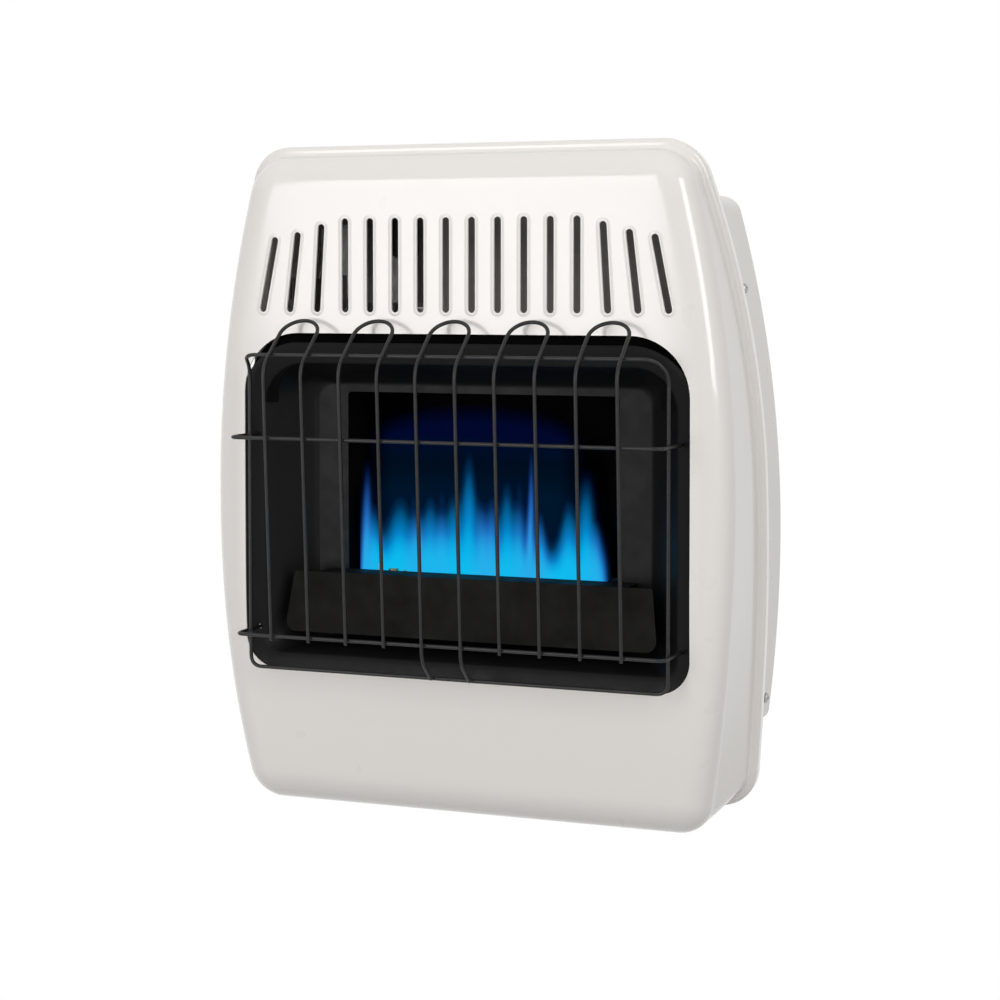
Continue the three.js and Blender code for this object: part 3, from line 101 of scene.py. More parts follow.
def face_outwards(piece, gap=0):
    """Turns every face outwards, after joining the points that are closer than a gap."""
    pick(piece)
    bpy.ops.object.mode_set(mode="EDIT")
    bpy.ops.mesh.select_all(action="SELECT")
    if gap:
        bpy.ops.mesh.remove_doubles(threshold=gap)
    bpy.ops.mesh.normals_make_consistent(inside=False)
    bpy.ops.object.mode_set(mode="OBJECT")


def put(piece, matrix):
    """Moves the points of a mesh, so that its object stays at the origin."""
    piece.data.transform(matrix)
    piece.data.update()


# %% [markdown]
# Sheet metal is pressed: a flat blank is drawn over a tool step by step. A ring of points is
# extruded the same way, one step at a time, and every new ring is placed by its own line.

# %% Pressing a sheet ring by ring
SAME_POINT = 1e-6                     # points closer than this are one


def press(name, rings, capped=False, closed=False):
    """Extrudes a circle of points through a list of rings. Point i of each ring follows point i
    of the ring before. A capped sheet is closed across its first ring by level strips, and a
    closed one runs back into its first ring."""
    count = len(rings[0])
    steps = rings + rings[:1] if closed else rings
    pick(camera)
    bpy.ops.mesh.primitive_circle_add(vertices=count, radius=0.1)
    piece = bpy.context.object
    piece.name = name
    bpy.ops.object.mode_set(mode="EDIT")
    mesh = bmesh.from_edit_mesh(piece.data)
    spot = mesh.verts.layers.int.new("spot")
    mesh.verts.ensure_lookup_table()
    for index, point in enumerate(mesh.verts):
        point[spot] = index
        point.co = steps[0][index]
    if capped:
        points = list(mesh.verts)
        for i in range(count // 2 - 1):
            mesh.faces.new((points[i], points[i + 1], points[count - 2 - i], points[count - 1 - i]))
    bmesh.update_edit_mesh(piece.data)
    for ring in steps[1:]:
        bpy.ops.mesh.extrude_edges_move()
        mesh = bmesh.from_edit_mesh(piece.data)
        spot = mesh.verts.layers.int["spot"]
        for point in mesh.verts:
            if point.select:
                point.co = ring[point[spot]]
        bmesh.update_edit_mesh(piece.data)
    bpy.ops.object.mode_set(mode="OBJECT")
    face_outwards(piece, SAME_POINT if closed else 0)
    return piece


def close_ends(piece):
    """Fills the open ends of an extruded ring."""
    pick(piece)
    bpy.ops.object.mode_set(mode="EDIT")
    bpy.ops.mesh.select_mode(type="EDGE")
    bpy.ops.mesh.select_all(action="DESELECT")
    bpy.ops.mesh.select_non_manifold()
    bpy.ops.mesh.edge_face_add()
    bpy.ops.mesh.select_mode(type="VERT")
    bpy.ops.object.mode_set(mode="OBJECT")
    face_outwards(piece)
    return piece


# %% Thickness, cuts and smooth shading
def thicken(piece, thickness):
    """Gives a pressed surface its sheet thickness, on the inside."""
    wall = piece.modifiers.new("wall", "SOLIDIFY")
    wall.thickness = thickness
    wall.offset = -1
    wall.use_even_offset = True
    apply_all(piece)


def combine(piece, other, operation):
    """Cuts a closed piece out of another or fuses the two, and deletes it."""
    tool = piece.modifiers.new("combine", "BOOLEAN")
    tool.operation = operation
    tool.solver = "EXACT"
    tool.use_self = False
    tool.object = other
    apply_all(piece)
    bpy.data.objects.remove(other)


def cut(piece, cutters):
    """Cuts closed cutters out of a closed piece."""
    combine(piece, join("cutter", cutters), "DIFFERENCE")


def soften_edges(piece, width, segments=2, angle=40):
    """Breaks the sharp edges of a piece, as forming and painting do."""
    edge = piece.modifiers.new("edge", "BEVEL")
    edge.width = width
    edge.segments = segments
    edge.limit_method = "ANGLE"
    edge.angle_limit = math.radians(angle)
    edge.use_clamp_overlap = True
    apply_all(piece)


def shade(piece, angle=35):
    """Smooth shading, with large flat faces kept flat."""
    pick(piece)
    bpy.ops.object.shade_smooth_by_angle(angle=math.radians(angle))
    even = piece.modifiers.new("even", "WEIGHTED_NORMAL")
    even.keep_sharp = True
    apply_all(piece)


# %% [markdown]
# ## Materials
# Each finish is made of nodes on Object coordinates, so a pattern has its real size on every
# piece. The plain values sit on the shader itself and only what varies is linked.

# %% Building blocks for materials
def add(tree, kind, inputs=None, **settings):
    """A new node with its settings. An input is a plain value or the output that feeds it."""
    node = tree.nodes.new(kind)
    for name, value in settings.items():
        setattr(node, name, value)
    for name, value in (inputs or {}).items():
        if isinstance(value, bpy.types.NodeSocket):
            tree.links.new(value, node.inputs[name])
        else:
            node.inputs[name].default_value = value
    return node


def finish(name, color, roughness, metallic=0.0, specular=0.5, coat=0.0, coat_roughness=0.1):
    """A new material with its shader, and a place to read the object's own coordinates."""
    material = bpy.data.materials.new(name)
    material.use_nodes = True
    shader = material.node_tree.nodes["Principled BSDF"]
    shader.inputs["Base Color"].default_value = (*color, 1)
    shader.inputs["Roughness"].default_value = roughness
    shader.inputs["Metallic"].default_value = metallic
    shader.inputs["Specular IOR Level"].default_value = specular
    shader.inputs["Coat Weight"].default_value = coat
    shader.inputs["Coat Roughness"].default_value = coat_roughness
    add(material.node_tree, "ShaderNodeTexCoord", name="place")
    return material


def noise(material, scale, detail=3.0, stretch=(1, 1, 1)):
    """A noise pattern with `scale` features in a metre, stretched along an axis if asked."""
    tree = material.node_tree
    place = tree.nodes["place"].outputs["Object"]
    mapping = add(tree, "ShaderNodeMapping", {"Vector": place, "Scale": stretch})
    inputs = {"Vector": mapping.outputs["Vector"], "Scale": scale, "Detail": detail}
    return add(tree, "ShaderNodeTexNoise", inputs).outputs["Fac"]


def ramp_of(tree, pattern, stops):
    """A pattern led through a colour ramp with (position, value) stops."""
    ramp = add(tree, "ShaderNodeValToRGB", {"Fac": pattern})
    marks = ramp.color_ramp.elements
    while len(marks) < len(stops):
        marks.new(0.5)
    for mark_at, (position, value) in zip(marks, stops):
        mark_at.position = position
        mark_at.color = (*value, 1) if isinstance(value, tuple) else (value, value, value, 1)
    return ramp.outputs["Color"]


def drive(material, name, output):
    """Feeds one of the shader's inputs from an output."""
    tree = material.node_tree
    tree.links.new(output, tree.nodes["Principled BSDF"].inputs[name])


def vary_color(material, pattern, dark, light, low=0.35, high=0.65):
    """Lets the base colour run between two colours with a pattern."""
    stops = ((low, dark), (high, light))
    drive(material, "Base Color", ramp_of(material.node_tree, pattern, stops))


def vary_roughness(material, pattern, smooth, rough):
    """Lets the roughness run between two values with a pattern."""
    span = add(material.node_tree, "ShaderNodeMapRange", {
        "Value": pattern, "From Min": 0.3, "From Max": 0.7, "To Min": smooth, "To Max": rough,
    })
    drive(material, "Roughness", span.outputs["Result"])


def bumps(material, pattern, height):
    """Raises the surface with a pattern, by `height` metres at most."""
    bump = add(material.node_tree, "ShaderNodeBump", {"Height": pattern, "Distance": height})
    drive(material, "Normal", bump.outputs["Normal"])


# %% [markdown]
# Enamel is sprayed on and baked. It is a warm off-white under a clear gloss, with a very slight
# unevenness, as orange peel, which only shows where something is mirrored in it. The other
# coatings and mouldings differ in the colours they run between and in the size of their grain.

# %% Coatings and mouldings
def coating(name, color, roughness, colors, pattern, grain=None, relief=None, **gloss):
    """A painted or moulded surface. `pattern` is (scale, detail) of the noise that leads from one
    of the two `colors` to the other, with the span of it that counts. `grain` is (scale, detail,
    smooth, rough) and `relief` is (scale, detail, height)."""
    material = finish(name, color, roughness, **gloss)
    vary_color(material, noise(material, *pattern[:2]), *colors, *pattern[2:])
    if grain:
        vary_roughness(material, noise(material, *grain[:2]), *grain[2:])
    if relief:
        bumps(material, noise(material, *relief[:2]), relief[2])
    return material


# %% [markdown]
# Bare metals differ in colour and grain. Rolled sheet has streaks along its length, a casting a
# fine grain, and a drawn tube is almost even.

# %% Metals
def metal_finish(
    name, dark, light, smooth, rough, grain, stretch=(1, 1, 1), height=0.00003, metallic=1.0
):
    """Bare or coated metal with a grain of `grain` features in a metre."""
    material = finish(name, light, smooth, metallic=metallic)
    vary_color(material, noise(material, grain / 6, 4), dark, light)
    vary_roughness(material, noise(material, grain, 4, stretch), smooth, rough)
    bumps(material, noise(material, grain * 2, 3, stretch), height)
    return material


# %% All finishes
def enamel(name, gloss):
    """Baked enamel, with a share of its clear gloss."""
    return coating(
        name, (0.80, 0.772, 0.737), 0.3, ((0.796, 0.767, 0.731), (0.805, 0.778, 0.744)),
        (3, 1, 0.2, 0.8), (25, 2, 0.27, 0.33), (90, 1, 0.000004),
        specular=0.3 * gloss, coat=gloss, coat_roughness=0.08,
    )


finishes = {
    "enamel": enamel("enamel", 1.0),
    "enamel_rear": enamel("enamel_rear", 0.3),
    "black_enamel": coating(
        "satin_black", (0.0055, 0.0055, 0.0057), 0.4,
        ((0.0047, 0.0046, 0.0046), (0.0064, 0.0063, 0.0066)),
        (14, 3), (90, 3, 0.34, 0.46), (1500, 3, 0.00003), specular=0.13,
    ),
    "black_shield": coating(
        "shield_black", (0.0065, 0.0062, 0.0056), 0.6,
        ((0.0046, 0.0042, 0.0037), (0.0082, 0.0078, 0.0071)),
        (22, 6, 0.38, 0.68), (60, 4, 0.5, 0.72), (1100, 4, 0.00005), specular=0.08,
    ),
    "black_firebox": coating(
        "firebox_black", (0.003, 0.003, 0.0032), 0.8, ((0.002, 0.002, 0.0022), (0.004, 0.0038, 0.0038)),
        (30, 5), relief=(900, 3, 0.00006), specular=0.03,
    ),
    "guard_wire": coating(
        "coated_wire", (0.012, 0.012, 0.0122), 0.36, ((0.010, 0.0098, 0.0098), (0.0145, 0.0143, 0.0145)),
        (120, 3), (300, 3, 0.3, 0.42), (2200, 2, 0.00003), specular=0.32,
    ),
    "black_plastic": coating(
        "moulded_plastic", (0.016, 0.016, 0.017), 0.45, ((0.014, 0.014, 0.015), (0.02, 0.02, 0.021)),
        (60, 3), relief=(2600, 2, 0.00004), specular=0.4,
    ),
    "lead_rubber": coating(
        "lead_rubber", (0.04, 0.04, 0.041), 0.7, ((0.03, 0.03, 0.031), (0.05, 0.05, 0.052)), (80, 3)
    ),
    "ceramic": coating(
        "ceramic", (0.8, 0.78, 0.74), 0.2, ((0.74, 0.72, 0.67), (0.82, 0.8, 0.76)), (90, 2),
        coat=0.4, coat_roughness=0.05,
    ),
    "white_mark": coating(
        "white_mark", (0.75, 0.75, 0.74), 0.5, ((0.7, 0.7, 0.69), (0.78, 0.78, 0.77)), (200, 2)
    ),
}
METALS = (
    # name, dark colour, light colour, smoothest, roughest, grain, and what differs from plain metal
    ("coated_steel", (0.42, 0.41, 0.39), (0.52, 0.51, 0.49), 0.45, 0.6, 90, {"metallic": 0.5}),
    ("zinc_steel", (0.34, 0.34, 0.335), (0.46, 0.46, 0.45), 0.3, 0.45, 240, {}),
    ("aluminised_steel", (0.42, 0.40, 0.375), (0.54, 0.52, 0.49), 0.5, 0.66, 70,
     {"metallic": 0.5, "stretch": (1, 1, 0.1)}),
    ("burner_steel", (0.3, 0.28, 0.26), (0.45, 0.44, 0.43), 0.35, 0.5, 80, {"stretch": (0.1, 1, 1)}),
    ("cast_alloy", (0.4, 0.4, 0.41), (0.5, 0.5, 0.51), 0.45, 0.6, 700, {"height": 0.00008}),
    ("pipe_aluminium", (0.62, 0.62, 0.62), (0.74, 0.74, 0.74), 0.3, 0.42, 200, {}),
    ("brass", (0.6, 0.43, 0.19), (0.72, 0.54, 0.27), 0.25, 0.4, 300, {}),
)
for name, *values, changes in METALS:
    finishes[name] = metal_finish(name, *values, **changes)
print(len(finishes), "finishes")

# %% [markdown]
# ## Giving a piece its place in the heater
# A finished piece takes a material, rides on a body, names its material slot and may stand for
# one or more pieces of the construction model.

# %% Placing a finished piece
def settle(piece, slot, body="root", nodes=(), look=None):
    """Gives a piece its finish and ties it to the frame."""
    piece.data.materials.clear()
    piece.data.materials.append(finishes[look or slot])
    for polygon in piece.data.polygons:
        polygon.material_index = 0
    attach(piece, body)
    if nodes:
        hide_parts(*nodes)
    print(piece.name, len(piece.data.polygons), "faces")
    return piece


# %% [markdown]
# ## Outlines
# Casing, rear casing and window share one kind of outline: flat ends, bowed sides and round
# corners, the same left and right. Every point also carries its outward direction, so that a
# second line can run beside it at a constant distance. Pressed edges are rounded by a quarter
# turn, and the bends of sheet and wire by a short curve.

# %% Outlines
CORNER_STEPS = 14
SIDE_STEPS = 20


def outline(half_width, top, bottom, widest, bow_up, bow_down, corner_top, corner_bottom):
    """A closed line of (x, z, outward x, outward z), clockwise from the top right."""

    def quarter(bow, end, corner, sign):
        centre = half_width - bow
        rise = abs(end - widest) - corner
        corner_x = centre + math.sqrt((bow - corner) ** 2 - rise**2)
        lean = math.atan2(rise, corner_x - centre)
        points = []
        for i in range(CORNER_STEPS + 1):
            angle = math.pi / 2 + (lean - math.pi / 2) * i / CORNER_STEPS
            nx, nz = math.cos(angle), sign * math.sin(angle)
            points.append((corner_x + corner * nx, widest + sign * rise + corner * nz, nx, nz))
        for i in range(1, SIDE_STEPS + 1):
            angle = lean * (1 - i / SIDE_STEPS)
            nx, nz = math.cos(angle), sign * math.sin(angle)
            points.append((centre + bow * nx, widest + bow * nz, nx, nz))
        return points

    side = quarter(bow_up, top, corner_top, 1)
    side += quarter(bow_down, bottom, corner_bottom, -1)[::-1][1:]
    mirrored = [(-x, z, -nx, nz) for x, z, nx, nz in side][::-1]
    return side + mirrored


def beside(line, distance):
    """The same line, drawn inwards by a distance."""
    return [(x - nx * distance, z - nz * distance, nx, nz) for x, z, nx, nz in line]


def ring_at(line, depths):
    """A ring of points in space from a line and the depth of each of its points."""
    return [Vector((x, depth, z)) for (x, z, _, _), depth in zip(line, depths)]


# %% Round edges and corners
def quarter_turn(steps):
    """Inward and forward shares along a round edge, which starts at 1 and 1 and ends at 0 and 0."""
    angles = [math.pi / 2 * i / steps for i in range(steps + 1)]
    return [(1 - math.sin(angle), math.cos(angle)) for angle in angles]


def curve(start, corner, end, steps):
    """Points that lead round a corner."""
    shares = [i / steps for i in range(steps + 1)]
    return [start.lerp(corner, t).lerp(corner.lerp(end, t), t) for t in shares]


def rounded(corners, leave, steps):
    """A path through corners, each replaced by a curve. `leave` finds the point between a corner
    and its neighbour where the curve begins or ends."""
    points = [Vector(c) for c in corners]
    path = [points[0]]
    for before, corner, after in zip(points, points[1:], points[2:]):
        path += curve(leave(corner, before), corner, leave(corner, after), steps)
    return path + [points[-1]]


# %% [markdown]
# ## Front casing
# The real one is a single pressed sheet. Its face is drawn forward out of a narrow rolled flange,
# with a wide round edge and a wall between them. It is built the same way, ring by ring from
# the face outwards, and then gets its thickness, its window and its slots.

# %% Sizes of the front casing
FACE_Y = -0.165                       # front face of the casing
SHEET = 0.0012
FLANGE = outline(0.239, 0.281, -0.266, 0.0, 0.9, 3.4, 0.038, 0.032)
FACE_HALF_WIDTH, FACE_TOP, FACE_LOW = 0.229, 0.272, -0.28
FACE_WIDEST, FACE_BOW_UP, FACE_BOW_DOWN = -0.01, 1.04, 1.39
FACE_CORNERS = (0.036, 0.030)         # upper and lower
FACE_CORNER_LEAST = 0.005
FACE_ROLL, FACE_ROLL_END = 0.024, 0.029   # width of the round edge at the sides and at the ends
FACE_ROLL_DEPTH = 0.0205
FACE_MARGIN = 0.004
WALL_FOOT = 0.006                     # where the wall meets the flange, in from the outermost line
FOOT_BEND = 0.003
EDGE_ROLL = 0.004
EDGE_LIP = 0.008
LIP_DRAFT = 0.0004
FACE_FLAT_TO, FACE_FALL = -0.07, 0.018    # below this height it falls back, by this much at its foot
FLANGE_TOP, FLANGE_TURN, FLANGE_POWER = 0.281, -0.12, 1.6
FLANGE_DEPTH_SIDE, FLANGE_DEPTH_TOP = 0.084, 0.026


def face_fall(height):
    """How far the face has fallen back at a height."""
    below = max(0.0, FACE_FLAT_TO - height) / (FACE_FLAT_TO - FACE_LOW)
    return FACE_FALL * below**2


def flange_depth(height):
    """Depth of the flange behind the face at a height: it comes forward towards the top."""
    up = max(0.0, height - FLANGE_TURN) / (FLANGE_TOP - FLANGE_TURN)
    return FLANGE_DEPTH_SIDE - (FLANGE_DEPTH_SIDE - FLANGE_DEPTH_TOP) * up**FLANGE_POWER


# %% Press the front casing
ROLL_STEPS = 14
BEND_STEPS = 5
EDGE_STEPS = 4


def face_ring(share, further, depth):
    """The face's line at a share of its round edge inside it, or further in, at a depth."""
    aside, ends = FACE_ROLL * share + further, FACE_ROLL_END * share + further
    corners = [max(corner - ends, FACE_CORNER_LEAST) for corner in FACE_CORNERS]
    line = outline(
        FACE_HALF_WIDTH - aside, FACE_TOP - ends, FACE_LOW + ends,
        FACE_WIDEST, FACE_BOW_UP, FACE_BOW_DOWN, *corners,
    )
    return ring_at(line, [FACE_Y + depth + face_fall(z) for _, z, _, _ in line])


def flange_ring(distance, back):
    """The flange's line, drawn inwards by a distance and set back behind its depth."""
    line = beside(FLANGE, distance)
    return ring_at(line, [FACE_Y + flange_depth(z) + back for _, z, _, _ in FLANGE])


def bend(start, corner, end):
    """Rings that lead round a corner."""
    paths = [curve(a, b, c, BEND_STEPS) for a, b, c in zip(start, corner, end)]
    return [list(ring) for ring in zip(*paths)]


def casing_rings():
    """Face, round edge, wall, flange and rolled lip, from the inside out."""
    rings = [face_ring(1, FACE_MARGIN, 0)]
    for inward, forward in quarter_turn(ROLL_STEPS):
        rings.append(face_ring(inward, 0, FACE_ROLL_DEPTH * (1 - forward)))
    edge, foot = rings.pop(), flange_ring(WALL_FOOT, -EDGE_ROLL)
    wall = [(b - a).length for a, b in zip(edge, foot)]
    wall_start = [a.lerp(b, min(FOOT_BEND / d, 0.5)) for a, b, d in zip(edge, foot, wall)]
    wall_end = [b.lerp(a, min(FOOT_BEND / d, 0.4)) for a, b, d in zip(edge, foot, wall)]
    rings += bend(rings.pop(), edge, wall_start)
    rings += bend(wall_end, foot, flange_ring(EDGE_ROLL, -EDGE_ROLL))
    for inward, forward in quarter_turn(EDGE_STEPS)[1:]:
        rings.append(flange_ring(EDGE_ROLL * inward, -EDGE_ROLL * forward))
    rings.append(flange_ring(LIP_DRAFT, EDGE_LIP))
    return rings


front_casing = press("front_casing_shell", casing_rings(), capped=True)
thicken(front_casing, SHEET)
print("front casing pressed:", len(front_casing.data.vertices), "points")

# %% [markdown]
# Slots are punched through the sheet. Their edges are not knife-sharp: the punch draws the metal
# up into a low rounded rim. The cutters are prisms with round ends, and the rims are rings that
# follow the same line further out.

# %% Slots and window
SLOT_RADIUS = 0.003
SLOT_PITCH = 0.0227
SLOT_COUNT = 10
SLOT_TOP, SLOT_BOTTOM = 0.219, 0.141
# Foot x, head x and top of the leaning slots on one side
LEANING = ((0.128, 0.124, 0.2145), (0.1532, 0.146, 0.208), (0.1785, 0.1672, 0.204))
ROUND_STEPS = 10


def slot_lines():
    """Foot and head of every slot's middle line, as (x, z) pairs."""
    foot_z, head_z = SLOT_BOTTOM + SLOT_RADIUS, SLOT_TOP - SLOT_RADIUS
    lines = []
    for i in range(SLOT_COUNT):
        x = (i - (SLOT_COUNT - 1) / 2) * SLOT_PITCH
        lines.append(((x, foot_z), (x, head_z)))
    for foot, head, top in LEANING:
        for side in (-1, 1):
            lines.append(((side * foot, foot_z), (side * head, top - SLOT_RADIUS)))
    return lines


def stadium(line, radius, depth):
    """A ring with straight sides and round ends about a line."""
    (x0, z0), (x1, z1) = line
    lean = math.atan2(z1 - z0, x1 - x0)
    ring = []
    for (x, z), start in (((x0, z0), lean + math.pi / 2), ((x1, z1), lean - math.pi / 2)):
        for i in range(ROUND_STEPS + 1):
            angle = start + math.pi * i / ROUND_STEPS
            ring.append(Vector((x + radius * math.cos(angle), depth, z + radius * math.sin(angle))))
    return ring


def prism(name, ring, front, back):
    """A closed cutter from a ring, between two depths."""
    ends = [[Vector((p.x, y, p.z)) for p in ring] for y in (front, back)]
    return close_ends(press(name, ends))


STRAIGHT = 40                         # bow radius of a side that looks straight
WINDOW_MIDDLE = -0.01925
WINDOW = outline(0.1965, 0.1235, -0.162, WINDOW_MIDDLE, STRAIGHT, STRAIGHT, 0.05, 0.028)
cutters = [prism("window_cutter", ring_at(WINDOW, [0] * len(WINDOW)), FACE_Y - 0.01, FACE_Y + 0.03)]
for line in slot_lines():
    ring = stadium(line, SLOT_RADIUS, 0)
    cutters.append(prism("slot_cutter", ring, FACE_Y - 0.005, FACE_Y + 0.005))
cut(front_casing, cutters)
shade(front_casing)
settle(front_casing, "enamel", nodes=["front_casing"])

# %% Rims of the slots
# Distance outside the slot's edge, and depth behind the face
RIM_PROFILE = (
    (0.0034, 0.0002), (0.0030, -0.00002), (0.0024, -0.00012), (0.0017, -0.0003),
    (0.0011, -0.00042), (0.0006, -0.00044), (0.0002, -0.0003), (0.0, 0.0), (-0.0001, 0.0005),
    (-0.0001, 0.0013), (0.0005, 0.0013),
)


def slot_rim(line):
    """The raised rim round one slot."""
    rings = [stadium(line, SLOT_RADIUS + out, FACE_Y + back) for out, back in RIM_PROFILE]
    return press("slot_rim", rings, closed=True)


slot_rims = join("slot_rims", [slot_rim(line) for line in slot_lines()])
shade(slot_rims, 60)
settle(slot_rims, "enamel")

# %% [markdown]
# ## Rear casing
# Behind the front stands a narrower box of thinner sheet. Its front edge follows the flange and
# is folded inwards, so that it can't cut a hand. Holes in its roof let out warm air and carry
# the controls; one hole in its floor takes the gas inlet.

# %% Press the rear casing
REAR_HALF_WIDTH, REAR_WIDEST = 0.229, -0.045
REAR_TOP, REAR_BOTTOM = 0.24, -0.208
REAR_BOW_UP, REAR_BOW_DOWN = 1.04, 1.28
REAR_CORNER_TOP, REAR_CORNER_BOTTOM = 0.018, 0.01
REAR = outline(
    REAR_HALF_WIDTH, REAR_TOP, REAR_BOTTOM, REAR_WIDEST, REAR_BOW_UP, REAR_BOW_DOWN,
    REAR_CORNER_TOP, REAR_CORNER_BOTTOM,
)
REAR_RETURN, REAR_RETURN_BEND = 0.009, 0.006
REAR_FOLD = 0.0022
REAR_LAP = 0.002
REAR_SHEET = 0.001
CONTROL_Y, INLET_Y = FACE_Y + 0.112, FACE_Y + 0.125
KNOB_X, IGNITER_X, INLET_X = -0.148, -0.096, -0.175
# Middle x, y, height and radius of the round holes in roof and floor
ROUND_HOLES = (
    (KNOB_X, CONTROL_Y, REAR_TOP, 0.005), (IGNITER_X, CONTROL_Y, REAR_TOP, 0.0103),
    (INLET_X, INLET_Y, REAR_BOTTOM, 0.0098),
)
ROOF_SLOT_COUNT, ROOF_SLOT_FIRST, ROOF_SLOT_PITCH = 10, -0.036, 0.02
ROOF_SLOT_RADIUS, ROOF_SLOT_FRONT, ROOF_SLOT_BACK = 0.004, FACE_Y + 0.084, FACE_Y + 0.146
SCREWS = (("upper", 0.161, 0.118), ("lower", -0.186, 0.146))   # height, and depth behind the face
SCREW_SHANK = 0.0018
REACH = 0.01                          # how far a cutter stands out on either side


def cylinder(name, radius, start, end, sides=32):
    """A plain round cutter or blank between two points."""
    start, end = Vector(start), Vector(end)
    pick(camera)
    bpy.ops.mesh.primitive_cylinder_add(vertices=sides, radius=radius, depth=(end - start).length)
    piece = bpy.context.object
    piece.name = name
    turn = (end - start).to_track_quat("Z", "Y").to_matrix().to_4x4()
    put(piece, Matrix.Translation((start + end) / 2) @ turn)
    return piece


def block(name, low, high):
    """A plain box between two corners."""
    low, high = Vector(low), Vector(high)
    pick(camera)
    bpy.ops.mesh.primitive_cube_add(size=1)
    piece = bpy.context.object
    piece.name = name
    put(piece, Matrix.Translation((low + high) / 2) @ Matrix.Diagonal((*(high - low), 1)))
    return piece


def screw_seat(height, depth, side):
    """Point on the rear casing's side under a screw, and the direction out of it."""
    bow = REAR_BOW_UP if height > REAR_WIDEST else REAR_BOW_DOWN
    lean = math.asin((height - REAR_WIDEST) / bow)
    half_width = REAR_HALF_WIDTH - bow + bow * math.cos(lean)
    point = Vector((side * half_width, FACE_Y + depth, height))
    return point, Vector((side * math.cos(lean), 0, math.sin(lean)))


def rear_ring(distance, back):
    """The rear casing's line at its front edge, drawn inwards and set back."""
    line = beside(REAR, distance)
    return ring_at(line, [FACE_Y + flange_depth(z) - REAR_LAP + back for _, z, _, _ in REAR])


rings = [rear_ring(REAR_RETURN, 0), rear_ring(REAR_RETURN_BEND, 0)]
for inward, forward in quarter_turn(EDGE_STEPS):
    rings.append(rear_ring(REAR_FOLD * inward, REAR_FOLD * (1 - forward)))
for depth in (-0.001, 0.0):
    rings.append(ring_at(REAR, [depth] * len(REAR)))
rear_casing = press("rear_casing_shell", rings)
thicken(rear_casing, REAR_SHEET)

holes = [
    cylinder("hole", radius, (x, y, z - REACH), (x, y, z + REACH)) for x, y, z, radius in ROUND_HOLES
]
for _, height, depth in SCREWS:
    for side in (-1, 1):
        seat, out = screw_seat(height, depth, side)
        holes.append(cylinder("hole", SCREW_SHANK + 0.0003, seat - out * REACH, seat + out * REACH, 16))
for i in range(ROOF_SLOT_COUNT):
    x = ROOF_SLOT_FIRST + ROOF_SLOT_PITCH * i
    ring = stadium(((x, ROOF_SLOT_FRONT), (x, ROOF_SLOT_BACK)), ROOF_SLOT_RADIUS, 0)
    slot = prism("hole", ring, REAR_TOP - REACH, REAR_TOP + REACH)
    put(slot, Matrix(((1, 0, 0, 0), (0, 0, 1, 0), (0, 1, 0, 0), (0, 0, 0, 1))))
    slot.data.flip_normals()
    holes.append(slot)
cut(rear_casing, holes)
shade(rear_casing)
settle(rear_casing, "enamel", nodes=["rear_casing"], look="enamel_rear")

# %% [markdown]
# ## Side screws
# Four zinc plated screws hold the two casings to the back panel. Each has a low domed head with
# a cross recess. One is turned from a profile with Spin, gets its recess, and is copied.

# %% Side screws
def turned(name, profile, sides=32):
    """Spins a (radius, height) profile about Z. Both ends of it lie on the axis."""
    pick(camera)
    bpy.ops.mesh.primitive_plane_add(size=0.01)
    piece = bpy.context.object
    piece.name = name
    bpy.ops.object.mode_set(mode="EDIT")
    mesh = bmesh.from_edit_mesh(piece.data)
    bmesh.ops.delete(mesh, geom=list(mesh.verts), context="VERTS")
    points = [mesh.verts.new((radius, 0, height)) for radius, height in profile]
    for one, two in zip(points, points[1:]):
        mesh.edges.new((one, two))
    bmesh.update_edit_mesh(piece.data)
    bpy.ops.mesh.select_all(action="SELECT")
    bpy.ops.mesh.spin(
        steps=sides, angle=2 * math.pi, center=(0, 0, 0), axis=(0, 0, 1), use_auto_merge=True
    )
    bpy.ops.object.mode_set(mode="OBJECT")
    face_outwards(piece, SAME_POINT)
    return piece


# Radius and height
SCREW_PROFILE = (
    (0, -0.0086), (0.0012, -0.0082), (0.0018, -0.0074), (0.0018, 0.0003), (0.0041, 0.0003),
    (0.0042, 0.0005), (0.0042, 0.0010), (0.0039, 0.0017), (0.0032, 0.0023), (0.0022, 0.0026),
    (0, 0.0027),
)
screw = turned("screw_blank", SCREW_PROFILE)
recess = [
    block("recess", (-0.0021, -0.0004, 0.0012), (0.0021, 0.0004, 0.004)),
    block("recess", (-0.0004, -0.0021, 0.0012), (0.0004, 0.0021, 0.004)),
]
for one in recess:
    cut(screw, [one])
shade(screw)

for label, height, depth in SCREWS:
    for side, word in ((-1, "left"), (1, "right")):
        pick(screw)
        bpy.ops.object.duplicate()
        piece = bpy.context.object
        piece.name = "screw_" + label + "_" + word
        seat, out = screw_seat(height, depth, side)
        put(piece, Matrix.Translation(seat) @ out.to_track_quat("Z", "Y").to_matrix().to_4x4())
        settle(piece, "zinc_steel", nodes=["side_screw_" + label + "_" + word])
bpy.data.objects.remove(screw)

# %% [markdown]
# ## Window surround
# The black pan behind the window is pressed too: a narrow bevel, a funnel and a floor with a
# mouth, behind which the burner stands. The bends of the profile are rounded before it is drawn.

# %% Press the window surround
PAN_HALF_WIDTH, PAN_TOP, PAN_BOTTOM, PAN_DEPTH = 0.2015, 0.1155, -0.167, 0.049
PAN_FUNNEL, PAN_FUNNEL_TOP, PAN_FUNNEL_BOTTOM = 0.034, 0.019, 0.013
PAN_CORNERS, PAN_CORNER_LEAST = (0.055, 0.033), 0.014
